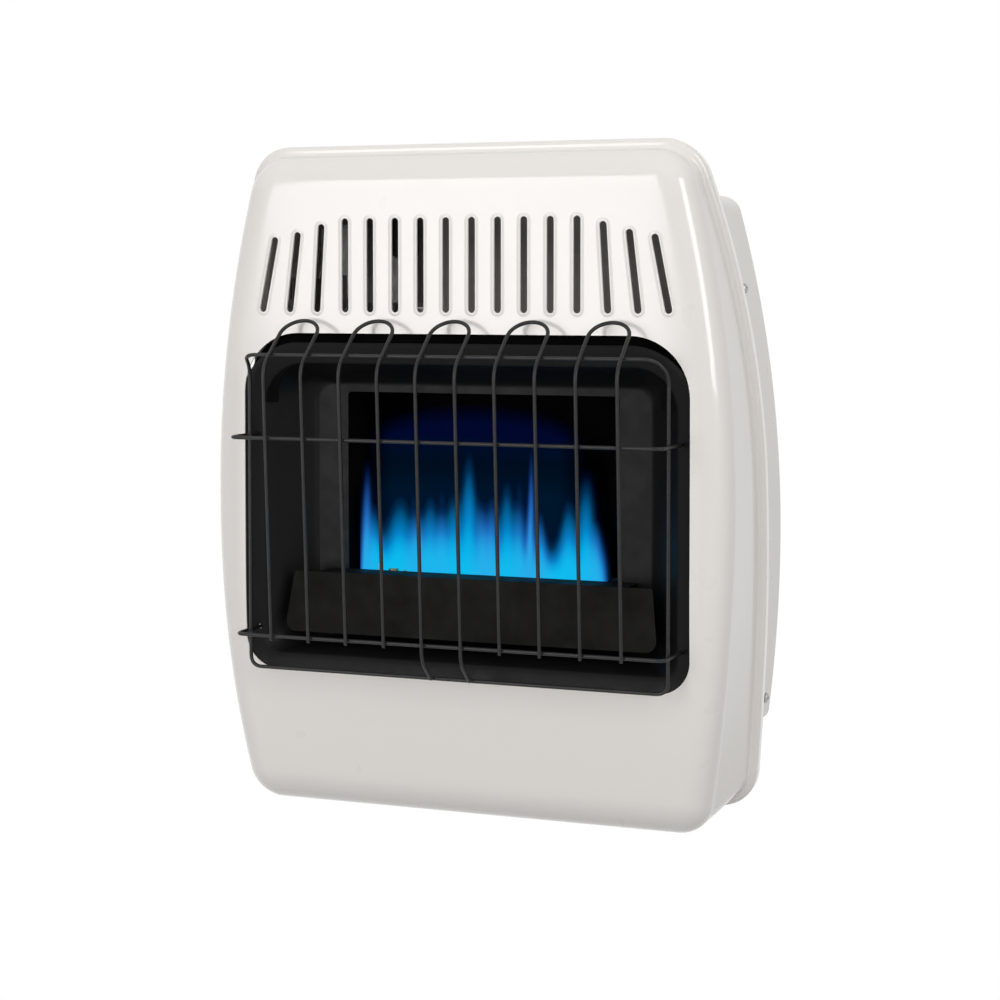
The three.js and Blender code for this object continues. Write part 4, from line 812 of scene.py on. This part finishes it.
# Distance drawn inwards, share of the funnel, and depth behind the face
PAN_PROFILE = (
    (0.021, 1, 0.049), (0.017, 1, 0.049), (0.016, 0.92, 0.046), (0.018, 0.12, 0.014),
    (0.017, 0, 0.008), (0.005, 0, 0.0027), (0, 0, 0.0017),
)
PAN_ROUNDING = 0.35                   # part of each stretch that a bend takes up


def pan_ring(drawn, share, depth):
    """A ring of the pan. Where the casing's face falls back, the pan's edge follows it."""
    inward = drawn + PAN_FUNNEL * share
    line = outline(
        PAN_HALF_WIDTH - inward,
        PAN_TOP - drawn - PAN_FUNNEL_TOP * share,
        PAN_BOTTOM + drawn + PAN_FUNNEL_BOTTOM * share,
        WINDOW_MIDDLE, STRAIGHT, STRAIGHT,
        *(max(corner - inward, PAN_CORNER_LEAST) for corner in PAN_CORNERS),
    )
    kept = 1 - depth / PAN_DEPTH
    return ring_at(line, [FACE_Y + depth + face_fall(z) * kept for _, z, _, _ in line])


CROSS_HALF_WIDTH, CROSS_HEIGHTS = 0.187, (0.0375, -0.128)
CROSS_HOLE = 0.0019
profile = rounded(PAN_PROFILE, lambda corner, other: corner.lerp(other, PAN_ROUNDING), 4)
rings = [pan_ring(*step) for step in profile]
window_surround = press("window_surround_pan", rings, capped=True)
thicken(window_surround, SHEET)
MOUTH = outline(0.1225, 0.0725, -0.104, -0.016, STRAIGHT, STRAIGHT, 0.003, 0.003)
cutters = [prism("mouth_cutter", ring_at(MOUTH, [0] * len(MOUTH)), FACE_Y + 0.044, FACE_Y + 0.055)]
for height in CROSS_HEIGHTS:
    for side in (-1, 1):
        x, front, back = side * CROSS_HALF_WIDTH, FACE_Y - 0.005, FACE_Y + 0.03
        cutters.append(cylinder("hole", CROSS_HOLE, (x, front, height), (x, back, height), 20))
cut(window_surround, cutters)
shade(window_surround, 50)
settle(window_surround, "black_enamel", nodes=["window_surround"])

# %% [markdown]
# Above the pan an air gap is left open. A dark strip stands behind it, bent round the pan's upper
# corners. It is painted shade: a dark sheet where the gap is dark only from shade, so that the lit
# inside of the casing doesn't show through the gap.

# %% Painted shade strip behind the air gap
def strip_line(out, foot):
    """The window's upper edge and corners, moved out by a distance and cut off at a height."""
    line = beside(WINDOW, -out)
    return [(x, z) for x, z, _, _ in line[len(line) // 2:] + line[:len(line) // 2] if z > foot]


STRIP_OUTER, STRIP_INNER, STRIP_FOOT = 0.0018, -0.0265, 0.062
STRIP_FRONT, STRIP_BACK = FACE_Y + 0.0102, FACE_Y + 0.0112
strip = strip_line(STRIP_OUTER, STRIP_FOOT) + strip_line(STRIP_INNER, STRIP_FOOT)[::-1]
# A dark sheet of painted shade; the gap behind the pan is dark only from shade
painted_shade_strip = prism("painted_shade_strip", [Vector((x, 0, z)) for x, z in strip], STRIP_FRONT, STRIP_BACK)
shade(painted_shade_strip)
settle(painted_shade_strip, "black_firebox")

# %% [markdown]
# ## Flame shield
# A folded plate stands in front of the burner and hides its foot. It leans back a little and its
# top and bottom edges are folded back to the pan, with a small bend radius.

# %% Fold the flame shield
SHIELD_TOP = (-0.08, 0.02, 0.16)      # height, depth, half width
SHIELD_BOTTOM = (-0.131, 0.013, 0.165)
SHIELD_FLANGE = 0.138
SHIELD_CORNER = 0.009
SHIELD_SEAT = 0.0487


def shield_depth(height):
    """Depth of the shield's front at a height."""
    share = (height - SHIELD_BOTTOM[0]) / (SHIELD_TOP[0] - SHIELD_BOTTOM[0])
    return SHIELD_BOTTOM[1] + share * (SHIELD_TOP[1] - SHIELD_BOTTOM[1])


def shield_leaf():
    """The front leaf, from its outline, with two round lower corners."""
    top, bottom, half = SHIELD_TOP[0], SHIELD_BOTTOM[0], SHIELD_BOTTOM[2]
    half_line = [(SHIELD_TOP[2] - 0.001, top), (SHIELD_TOP[2], top - 0.001)]
    for inward, forward in quarter_turn(8):
        half_line.append((half - SHIELD_CORNER * (1 - forward), bottom + SHIELD_CORNER * inward))
    line = half_line + [(-x, z) for x, z in half_line][::-1]
    rings = []
    for back in (0, SHEET):
        rings.append([Vector((x, FACE_Y + shield_depth(z) + back, z)) for x, z in line])
    return close_ends(press("shield_leaf", rings))


def shield_fold(edge, low):
    """The flange that runs back from one edge of the leaf to the pan."""
    front, back = FACE_Y + edge[1] + SHEET / 2, FACE_Y + SHIELD_SEAT
    return block("shield_fold", (-SHIELD_FLANGE, front, low), (SHIELD_FLANGE, back, low + SHEET))


shield = shield_leaf()
folds = (shield_fold(SHIELD_TOP, SHIELD_TOP[0] - SHEET), shield_fold(SHIELD_BOTTOM, SHIELD_BOTTOM[0]))
for extra in folds:
    combine(shield, extra, "UNION")
soften_edges(shield, 0.0004, 2)
shade(shield)
shield.name = "flame_shield_plate"
settle(shield, "black_shield", nodes=["flame_shield"])

# %% [markdown]
# ## Wire guard
# The guard is bent from 3.2 mm wire: five hairpins, two cross wires and a frame, welded where
# they meet. Each wire is a small ring that is extruded along a path with rounded bends.

# %% Bending wire
WIRE = 0.0016                         # its radius
TOUCH = 0.0003                        # the gap that a weld fills
BAR_TOP, BAR_BOTTOM, LOOP_TOP = (0.097, -0.051), (-0.131, -0.038), (0.134, -0.008)  # height, depth
PAIR_HALF_GAP = 0.017
PAIRS = (-0.1355, -0.0676, 0, 0.0676, 0.1355)
FRAME_TOP, FRAME_BOTTOM, FRAME_DEPTH, FRAME_CORNER = 0.106, -0.158, -0.015, 0.012
WIRE_BEND, CROSS_BEND = 0.01, 0.008
HOOK_DEPTH = 0.02
LOOP_STEPS = 18


def bar_depth(height):
    """Depth of the upright bars' middle line at a height."""
    low, high = (BAR_BOTTOM, BAR_TOP) if height < BAR_TOP[0] else (BAR_TOP, LOOP_TOP)
    return low[1] + (high[1] - low[1]) * (height - low[0]) / (high[0] - low[0])


def bent(corners, reach):
    """A path through corners, each rounded over a reach."""

    def leave(corner, other):
        run = other - corner
        return corner + run.normalized() * min(reach, run.length * 0.49)

    return rounded(corners, leave, 8)


def wire(name, path, radius, sides=12):
    """A round wire along a path, with rounded ends."""
    count = len(path)
    before = [path[max(i - 1, 0)] for i in range(count)]
    after = [path[min(i + 1, count - 1)] for i in range(count)]
    runs = [(b - a).normalized() for a, b in zip(before, after)]
    side = runs[0].orthogonal().normalized()
    rings = []
    steps = [(0, -0.25, 0.55), (0, 0.0, 0.9), (0, 0.35, 1)] + [(i, 0, 1) for i in range(1, count - 1)]
    steps += [(count - 1, -0.35, 1), (count - 1, 0.0, 0.9), (count - 1, 0.25, 0.55)]
    for index, along, width in steps:
        run = runs[index]
        side = (side - run * side.dot(run)).normalized()
        up = run.cross(side)
        middle = path[index] + run * along * radius
        rings.append([
            middle + radius * width * (side * math.cos(a) + up * math.sin(a))
            for a in (2 * math.pi * k / sides for k in range(sides))
        ])
    return close_ends(press(name, rings))


# %% The guard's wires
def hairpin_path(x):
    """Two bars and the loop over them. The middle hairpin's feet bend back to the frame."""
    rise = Vector((LOOP_TOP[0] - BAR_TOP[0], LOOP_TOP[1] - BAR_TOP[1])).normalized()
    loop_foot = (LOOP_TOP[0] - rise.x * PAIR_HALF_GAP, LOOP_TOP[1] - rise.y * PAIR_HALF_GAP)
    turn = BAR_BOTTOM[0] - 0.01
    feet = [BAR_BOTTOM]
    if x == 0:
        feet = [(FRAME_BOTTOM, FRAME_DEPTH - 2 * WIRE - TOUCH), (turn, bar_depth(turn))]

    def leg(side):
        corners = [(side, FACE_Y + d, h) for h, d in (*feet, BAR_TOP, loop_foot)]
        return bent(corners, WIRE_BEND)

    loop = []
    for i in range(1, LOOP_STEPS):
        angle = math.pi * i / LOOP_STEPS
        out = math.sin(angle) * PAIR_HALF_GAP
        loop.append(Vector((
            x - PAIR_HALF_GAP * math.cos(angle),
            FACE_Y + loop_foot[1] + rise.y * out,
            loop_foot[0] + rise.x * out,
        )))
    return leg(x - PAIR_HALF_GAP) + loop + leg(x + PAIR_HALF_GAP)[::-1]


def cross_path(height):
    """A cross wire behind the bars, hooked into the pan at both ends."""
    depth = bar_depth(height) + 2 * WIRE + TOUCH
    half = CROSS_HALF_WIDTH
    corners = [(-half, HOOK_DEPTH), (-half, depth), (half, depth), (half, HOOK_DEPTH)]
    return bent([(x, FACE_Y + d, height) for x, d in corners], CROSS_BEND)


def frame_path():
    """The frame wire, whose two ends meet in the middle of its lower run."""
    half = CROSS_HALF_WIDTH - 2 * WIRE - TOUCH
    rise, run = LOOP_TOP[0] - BAR_TOP[0], LOOP_TOP[1] - BAR_TOP[1]
    slope = math.hypot(rise, run) / rise
    top_depth = bar_depth(FRAME_TOP) + (2 * WIRE + TOUCH) * slope
    right = [
        (TOUCH / 2, FRAME_DEPTH, FRAME_BOTTOM), (half, FRAME_DEPTH, FRAME_BOTTOM),
        (half, FRAME_DEPTH, FRAME_TOP - FRAME_CORNER), (half - FRAME_CORNER / 2, top_depth, FRAME_TOP),
    ]
    corners = right + [(-x, d, z) for x, d, z in right][::-1]
    return bent([(x, FACE_Y + d, z) for x, d, z in corners], WIRE_BEND)


wires = [("hairpin_%d" % i, hairpin_path(x), "guard_hairpin_%d" % i) for i, x in enumerate(PAIRS, 1)]
for height, word in zip(CROSS_HEIGHTS, ("upper", "lower")):
    wires.append(("cross_wire_" + word, cross_path(height), "guard_cross_" + word))
wires.append(("frame_wire", frame_path(), "guard_frame"))
for name, path, node in wires:
    piece = wire(name, path, WIRE)
    shade(piece, 60)
    settle(piece, "guard_wire", nodes=[node])

# %% [markdown]
# Resistance welds leave a small bead where two wires cross. Each bead is a slightly flattened
# sphere between the two wires.

# %% Weld beads
BEAD_RADIUS, BEAD_STRETCH = 0.0013, (1.2, 1.0, 1.2, 1)
OUTERMOST = 0.15                      # bars further out have no bead at the frame's upper run


def weld(x, depth, height):
    """One bead at a place, from its x, its depth behind the face and its height."""
    pick(camera)
    bpy.ops.mesh.primitive_uv_sphere_add(segments=12, ring_count=8, radius=BEAD_RADIUS)
    piece = bpy.context.object
    put(piece, Matrix.Translation((x, FACE_Y + depth, height)) @ Matrix.Diagonal(BEAD_STRETCH))
    return piece


beads = []
for x in PAIRS:
    for side in (-PAIR_HALF_GAP, PAIR_HALF_GAP):
        for height in CROSS_HEIGHTS:
            beads.append(weld(x + side, bar_depth(height) + WIRE + TOUCH / 2, height))
        if abs(x + side) < OUTERMOST:
            beads.append(weld(x + side, bar_depth(FRAME_TOP) + 0.0022, FRAME_TOP - 0.0004))
for side in (-PAIR_HALF_GAP, PAIR_HALF_GAP):
    beads.append(weld(side, FRAME_DEPTH - WIRE, FRAME_BOTTOM + 0.001))
for side in (-1, 1):
    for height in CROSS_HEIGHTS:
        beads.append(weld(side * (CROSS_HALF_WIDTH - WIRE - TOUCH / 2), FRAME_DEPTH, height))
welds = join("guard_welds", beads)
shade(welds, 60)
settle(welds, "guard_wire")

# %% [markdown]
# ## Controls
# The knob turns and pushes, and the igniter's button pushes. Both stand on the roof, out of
# sight from the front. The knob is turned, its grip is a rounded bar, and it has a white mark.

# %% Control knob
KNOB_FOOT = REAR_TOP + 0.0045
KNOB_HEIGHT = 0.02
GROOVE_COUNT, GROOVE_CIRCLE, GROOVE_RADIUS = 24, 0.0196, 0.001
KNOB_PROFILE = (
    (0, 0), (0.0186, 0), (0.019, 0.0004), (0.019, 0.0074), (0.0186, 0.0082), (0.0177, 0.0104),
    (0.0172, 0.0113), (0.0163, 0.0119), (0.0155, 0.012), (0, 0.012),
)
knob = turned("knob", KNOB_PROFILE, 64)
grooves = []
for i in range(GROOVE_COUNT):
    angle = 2 * math.pi * i / GROOVE_COUNT
    x, y = GROOVE_CIRCLE * math.cos(angle), GROOVE_CIRCLE * math.sin(angle)
    grooves.append(cylinder("groove", GROOVE_RADIUS, (x, y, 0.0015), (x, y, 0.009), 12))
cut(knob, grooves)
grip = block("grip", (-0.0035, -0.0171, 0.008), (0.0035, 0.0171, KNOB_HEIGHT))
soften_edges(grip, 0.0012, 3)
combine(knob, grip, "UNION")
cut(knob, [cylinder("socket", 0.0043, (0, 0, -0.002), (0, 0, 0.011))])
put(knob, Matrix.Translation((KNOB_X, CONTROL_Y, KNOB_FOOT)))
shade(knob)
knob.name = "knob_moulding"
settle(knob, "black_plastic", body="control", nodes=["control_knob"])

mark = block("knob_mark", (-0.0006, -0.0168, KNOB_HEIGHT - 0.0003), (0.0006, -0.009, KNOB_HEIGHT))
put(mark, Matrix.Translation((KNOB_X, CONTROL_Y, KNOB_FOOT)))
soften_edges(mark, 0.0001, 1)
settle(mark, "black_plastic", body="control", look="white_mark")

# %% [markdown]
# ## The remaining pieces
# Valve, pipes, burner, brackets and the back panel are seen only through the slots, in the
# window or from behind. Each keeps its built shape: its mesh is copied, joined up, and its
# edges are broken as bending, casting or turning leaves them.

# %% Dress the remaining pieces
def dress(node, slot, body="root", width=0.0004, segments=2, angle=40, sharp=32):
    """A finished copy of one node of the construction model."""
    source = bpy.data.objects[node]
    pick(source)
    bpy.ops.object.duplicate()
    piece = bpy.context.object
    piece.name = node + "_finished"
    piece.data.name = piece.name
    bpy.ops.object.mode_set(mode="EDIT")
    bpy.ops.mesh.select_all(action="SELECT")
    bpy.ops.mesh.remove_doubles(threshold=SAME_POINT)
    bpy.ops.mesh.dissolve_limited(angle_limit=math.radians(1))
    bpy.ops.object.mode_set(mode="OBJECT")
    soften_edges(piece, width, segments, angle)
    shade(piece, sharp)
    return settle(piece, slot, body, [node])


DRESSED = {
    "aluminised_steel": (
        "back_panel", "heat_deflector", "firebox_stay_left", "firebox_stay_right", "burner_foot_left",
        "burner_foot_right", "injector_bracket", "pilot_bracket",
    ),
    "coated_steel": ("valve_bracket",),
    "zinc_steel": ("wall_bracket", "igniter_nut", "flame_probe"),
    "black_firebox": ("firebox",),
    "burner_steel": ("burner", "burner_venturi"),
    "brass": ("pilot_burner", "injector", "inlet_fitting", "regulator_union"),
    "cast_alloy": ("regulator", "gas_valve"),
    "black_plastic": ("igniter_body",),
    "pipe_aluminium": ("inlet_pipe", "supply_pipe", "manifold_pipe", "pilot_pipe"),
    "lead_rubber": ("igniter_lead",),
    "ceramic": ("spark_electrode",),
}
for slot_name, node_names in DRESSED.items():
    for node_name in node_names:
        dress(node_name, slot_name, width=0.0003)
dress("stem_collar", "zinc_steel", "push_collar")
dress("valve_stem", "brass", "control")
dress("igniter_button", "black_plastic", "igniter", 0.0006, 3)

# %% [markdown]
# ## Flames
# The burner carries a row of blue flames. A flame has no surface, so each row is a very thin
# closed sheet whose clearness comes from its own points: a value called warmth is 1 at the foot
# of the row and falls to 0 around every tongue, and it drives both colour and opacity. A second
# value, called hue, leads from the first colours to the second ones.

# %% Flame material
def flame_finish(name, first, second, clearness, wisp):
    """Light without a surface. `first` and `second` are (warmth, colour) and `clearness` is
    (warmth, opacity). Slow wisps shift the warmth and the hue by `wisp` at most."""
    material = bpy.data.materials.new(name)
    material.use_nodes = True
    tree = material.node_tree
    tree.nodes.remove(tree.nodes["Principled BSDF"])
    add(tree, "ShaderNodeTexCoord", name="place")

    def shifted(value, scale, share):
        """A value of the points, as it is and with a share of a noise pattern added to it."""
        source = add(tree, "ShaderNodeAttribute", attribute_name=value).outputs["Fac"]
        terms = {0: noise(material, scale, 2, (1, 0.3, 0.35)), 1: share, 2: -share / 2}
        shift = add(tree, "ShaderNodeMath", terms, operation="MULTIPLY_ADD").outputs[0]
        total = add(tree, "ShaderNodeMath", {0: source, 1: shift}, operation="ADD", use_clamp=True)
        return source, total.outputs[0]

    warmth, warmer = shifted("warmth", 60, wisp)
    _, hue = shifted("hue", 34, wisp * 3)
    tint = add(tree, "ShaderNodeMixRGB", {
        "Fac": hue, "Color1": ramp_of(tree, warmer, first), "Color2": ramp_of(tree, warmer, second),
    })
    light = add(tree, "ShaderNodeEmission", {"Color": tint.outputs["Color"]})
    air = add(tree, "ShaderNodeBsdfTransparent")
    blend = add(tree, "ShaderNodeMixShader", {
        "Fac": ramp_of(tree, warmth, clearness), 1: air.outputs["BSDF"], 2: light.outputs["Emission"],
    })
    tree.links.new(blend.outputs["Shader"], tree.nodes["Material Output"].inputs["Surface"])
    return material


# Warmth and colour
CYAN = (
    (0.0, (0.0, 0.002, 0.015)), (0.12, (0.0002, 0.006, 0.028)), (0.3, (0.0004, 0.034, 0.10)),
    (0.5, (0.0008, 0.12, 0.31)), (0.7, (0.0015, 0.22, 0.56)), (0.85, (0.002, 0.37, 0.74)),
    (1.0, (0.004, 0.50, 0.86)),
)
VIOLET = (
    (0.0, (0.001, 0.001, 0.018)), (0.12, (0.002, 0.003, 0.035)), (0.3, (0.008, 0.016, 0.14)),
    (0.5, (0.015, 0.05, 0.31)), (0.7, (0.026, 0.14, 0.52)), (0.85, (0.03, 0.25, 0.68)),
    (1.0, (0.03, 0.37, 0.80)),
)
# Warmth and opacity
FLAME_CLEAR = ((0.0, 0.0), (0.06, 0.12), (0.2, 0.45), (0.4, 0.75), (0.7, 0.92), (1.0, 0.98))
# Painted glow: colours of a faint sheet that glows with the flames' light behind and above the rows
TEAL_PAINTED_GLOW = ((0.0, (0.0, 0.005, 0.016)), (1.0, (0.0, 0.011, 0.032)))
NAVY_PAINTED_GLOW = ((0.0, (0.0, 0.001, 0.012)), (1.0, (0.0004, 0.003, 0.032)))
PAINTED_GLOW_CLEAR = ((0.0, 0.0), (0.3, 0.2), (1.0, 0.62))
finishes["flame"] = flame_finish("flame", CYAN, VIOLET, FLAME_CLEAR, 0.12)
finishes["painted_flame_glow"] = flame_finish("painted_flame_glow", TEAL_PAINTED_GLOW, NAVY_PAINTED_GLOW, PAINTED_GLOW_CLEAR, 0.1)

# %% Rows of flame
FLAME_FOOT = -0.0835
FLAME_ENDS = (-0.1165, 0.1055)
BED_HEIGHT = 0.021                    # how high the solid foot of a row reaches
BED_FADE = 0.009                      # how far in from its ends a row is at its full warmth
# Middle, half width and top of the painted glow sheet
PAINTED_GLOW_MIDDLE, PAINTED_GLOW_HALF_WIDTH, PAINTED_GLOW_TOP = -0.022, 0.098, 0.062
FLAME_THICKNESS = 0.002
WAVE_ACROSS, WAVE_UP = 0.0047, 0.03   # how long the waves of a sheet are
# Middle x, height of the tip, half width at the foot, hue
FRONT_TONGUES = (
    (-0.1135, 0.014, 0.0065, 1.0), (-0.106, -0.022, 0.0095, 0.0), (-0.082, -0.012, 0.0185, 0.0),
    (-0.066, -0.022, 0.011, 0.8), (-0.054, -0.010, 0.012, 0.2), (-0.043, -0.020, 0.010, 0.7),
    (-0.032, -0.008, 0.012, 0.0), (-0.018, 0.030, 0.0125, 0.0), (-0.006, -0.014, 0.009, 0.9),
    (0.003, -0.008, 0.010, 0.7), (0.017, 0.006, 0.012, 0.0), (0.028, -0.010, 0.009, 0.7),
    (0.038, 0.034, 0.0048, 1.0), (0.047, -0.020, 0.008, 0.5), (0.072, -0.010, 0.0125, 0.0),
    (0.0875, 0.012, 0.0115, 0.0), (0.096, -0.032, 0.0095, 0.9),
)
REAR_TONGUES = (
    (-0.094, -0.030, 0.010, 0.4), (-0.074, -0.006, 0.010, 0.1), (-0.048, -0.002, 0.010, 0.5),
    (-0.026, -0.008, 0.010, 0.2), (0.008, 0.0, 0.010, 0.3), (0.024, 0.010, 0.008, 0.7),
    (0.080, -0.004, 0.012, 0.1),
)


def held(value):
    """A value held between 0 and 1."""
    return max(0.0, min(1.0, value))


def row_of_flames(x, z, tongues, share):
    """Warmth and hue of a row at a place: its bed and its tongues together."""
    up = z - FLAME_FOOT
    inside = min(x - FLAME_ENDS[0], FLAME_ENDS[1] - x)
    cold = 1 - share * math.exp(-(up / BED_HEIGHT) ** 2) * held(inside / BED_FADE) ** 0.7
    hues, weights = 0.0, 0.3
    for middle, tip, half_width, hue in tongues:
        rise = up / (tip - FLAME_FOOT)
        if not 0 <= rise < 1:
            continue
        across = abs(x - middle) / (half_width * (1 - 0.6 * rise))
        glow = share * (1 - rise**1.5) * math.exp(-(across**2.2))
        cold *= 1 - glow
        hues += hue * glow
        weights += glow
    return max(0.0, 1 - cold), hues / weights


def painted_glow_of_flames(x, z):
    """Warmth and hue of the painted glow above the row, a sheet that glows with the flames' light: teal
    low down and navy towards its rounded top.
    """
    across = (x - PAINTED_GLOW_MIDDLE) / PAINTED_GLOW_HALF_WIDTH
    top = PAINTED_GLOW_TOP - 0.02 * abs(across) ** 2.5
    edge = held((top - z) / 0.018) * held((1.04 - abs(across)) / 0.25)
    high = held((z - 0.004) / 0.03)
    low = held((0.012 - z) / 0.03)
    return edge * (0.4 + 0.5 * high + 0.5 * low), high * (0.6 + 0.4 * high)


def sheet_of_flame(name, width, height, depth, wave, field, steps):
    """A thin closed sheet that waves in depth, with warmth and hue from a field of x and z."""
    pick(camera)
    bpy.ops.mesh.primitive_grid_add(x_subdivisions=steps[0], y_subdivisions=steps[1], size=1)
    piece = bpy.context.object
    piece.name = name
    for point in piece.data.vertices:
        x = width[0] + (width[1] - width[0]) * (point.co.x + 0.5)
        z = height[0] + (height[1] - height[0]) * (point.co.y + 0.5)
        swing = math.sin(x / WAVE_ACROSS) * math.cos(z / WAVE_UP)
        point.co = (x, FACE_Y + depth + wave * swing, z)
    thicken(piece, FLAME_THICKNESS)
    face_outwards(piece)
    values = [field(point.co.x, point.co.z) for point in piece.data.vertices]
    for index, value in enumerate(("warmth", "hue")):
        data = piece.data.attributes.new(value, "FLOAT", "POINT").data
        for spot, pair in zip(data, values):
            spot.value = pair[index]
    return piece


ROW_WIDTH, ROW_WAVE, ROW_STEPS = (-0.1195, 0.1065), 0.0022, (190, 100)
# Top, depth behind the face, tongues and brightness
ROWS = ((0.036, 0.066, FRONT_TONGUES, 1.0), (0.02, 0.078, REAR_TONGUES, 0.6))
rows = [
    sheet_of_flame(
        "row", ROW_WIDTH, (FLAME_FOOT, tallest), depth, ROW_WAVE,
        lambda x, z: row_of_flames(x, z, tongues, share), ROW_STEPS,
    )
    for tallest, depth, tongues, share in ROWS
]
flames = join("flames", rows)
# Painted glow: a sheet behind the rows that paints the flames' light as a faint teal and navy glow
painted_glow_sheet = sheet_of_flame(
    "painted_flame_glow", (-0.125, 0.08), (FLAME_FOOT, PAINTED_GLOW_TOP), 0.09, 0.001, painted_glow_of_flames, (80, 60)
)
for piece, look in ((flames, "flame"), (painted_glow_sheet, "painted_flame_glow")):
    pick(piece)
    bpy.ops.object.shade_smooth()
    piece.data.materials.clear()
    piece.data.materials.append(finishes[look])
    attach(piece, "root")
print(len(FRONT_TONGUES) + len(REAR_TONGUES), "tongues of flame")

# %% [markdown]
# ## Light and floor
# Everything stands in plain soft light. The world is white to the camera and to reflections. To
# the rest it gives a grey light that is weaker from below. Two large soft lamps, at the left front
# and at the upper right, shape the casing, and a weak one lights it from above. The pale floor
# lies well below, because the heater hangs on a wall.

# %% World
scene = bpy.context.scene
scene.view_settings.view_transform = "Standard"
world = bpy.data.worlds.new("studio")
scene.world = world
world.use_nodes = True
tree = world.node_tree
tree.nodes.clear()
GROUND_LIGHT, SKY_LIGHT = 0.11, 0.59  # light from below, and from above the horizon


def background_rays(tree):
    """1 for the rays of the camera, of mirrors and of glass, which show the background."""
    paths = add(tree, "ShaderNodeLightPath").outputs
    seen = paths["Is Camera Ray"]
    for name in ("Is Transmission Ray", "Is Glossy Ray"):
        seen = add(tree, "ShaderNodeMath", {0: seen, 1: paths[name]}, operation="MAXIMUM").outputs[0]
    return seen


way = add(tree, "ShaderNodeTexCoord")
split = add(tree, "ShaderNodeSeparateXYZ", {"Vector": way.outputs["Object"]})
span = {
    "Value": split.outputs["Z"], "From Min": -0.5, "From Max": 0.5,
    "To Min": GROUND_LIGHT, "To Max": SKY_LIGHT,
}
height = add(tree, "ShaderNodeMapRange", span, interpolation_type="SMOOTHSTEP")
soft = add(tree, "ShaderNodeBackground", {"Color": height.outputs["Result"]})
white = add(tree, "ShaderNodeBackground", {"Color": (1, 1, 1, 1)})
both = add(tree, "ShaderNodeMixShader", {
    "Fac": background_rays(tree), 1: soft.outputs["Background"], 2: white.outputs["Background"],
})
add(tree, "ShaderNodeOutputWorld", {"Surface": both.outputs["Shader"]})
print("world light", GROUND_LIGHT, "to", SKY_LIGHT)

# %% Lamps
def lamp(name, place, target, size, power):
    """A rectangular soft lamp that is aimed at a point."""
    bpy.ops.object.light_add(type="AREA", location=place)
    light = bpy.context.object
    light.name = name
    light.data.shape = "RECTANGLE"
    light.data.size, light.data.size_y = size
    light.data.energy = power
    aim = Vector(target) - Vector(place)
    light.rotation_euler = aim.to_track_quat("-Z", "Y").to_euler()
    return light


lamp("left_softbox", (-0.94, -2.5, 0.35), (0, -0.1, 0.1), (0.8, 1.85), 19)
lamp("right_softbox", (1.9, -1.6, 0.85), (0.1, -0.1, 0.1), (0.7, 1.4), 16)
fill = lamp("top_fill", (0.2, -1.3, 1.2), (0, -0.1, 0.1), (0.9, 0.9), 3)
fill.visible_glossy = False

# %% Floor
FLOOR_SIZE, FLOOR_HEIGHT = 12, -0.85
pick(camera)
bpy.ops.mesh.primitive_plane_add(size=FLOOR_SIZE, location=(0, 0, FLOOR_HEIGHT))
floor = bpy.context.object
floor.name = "studio_floor"
apply_all(floor)
pale = finish("pale_floor", (0.35, 0.35, 0.35), 0.9)
tree = pale.node_tree
plain = tree.nodes["Principled BSDF"].outputs["BSDF"]
glow = add(tree, "ShaderNodeEmission")
blend = add(tree, "ShaderNodeMixShader", {
    "Fac": background_rays(tree), 1: plain, 2: glow.outputs["Emission"],
})
tree.links.new(blend.outputs["Shader"], tree.nodes["Material Output"].inputs["Surface"])
floor.data.materials.append(pale)

# %% [markdown]
# ## Size
# The finished heater must still fill the box of its construction model. At the end the scene is only
# brought up to date.

# %% Finish
bpy.context.view_layer.update()
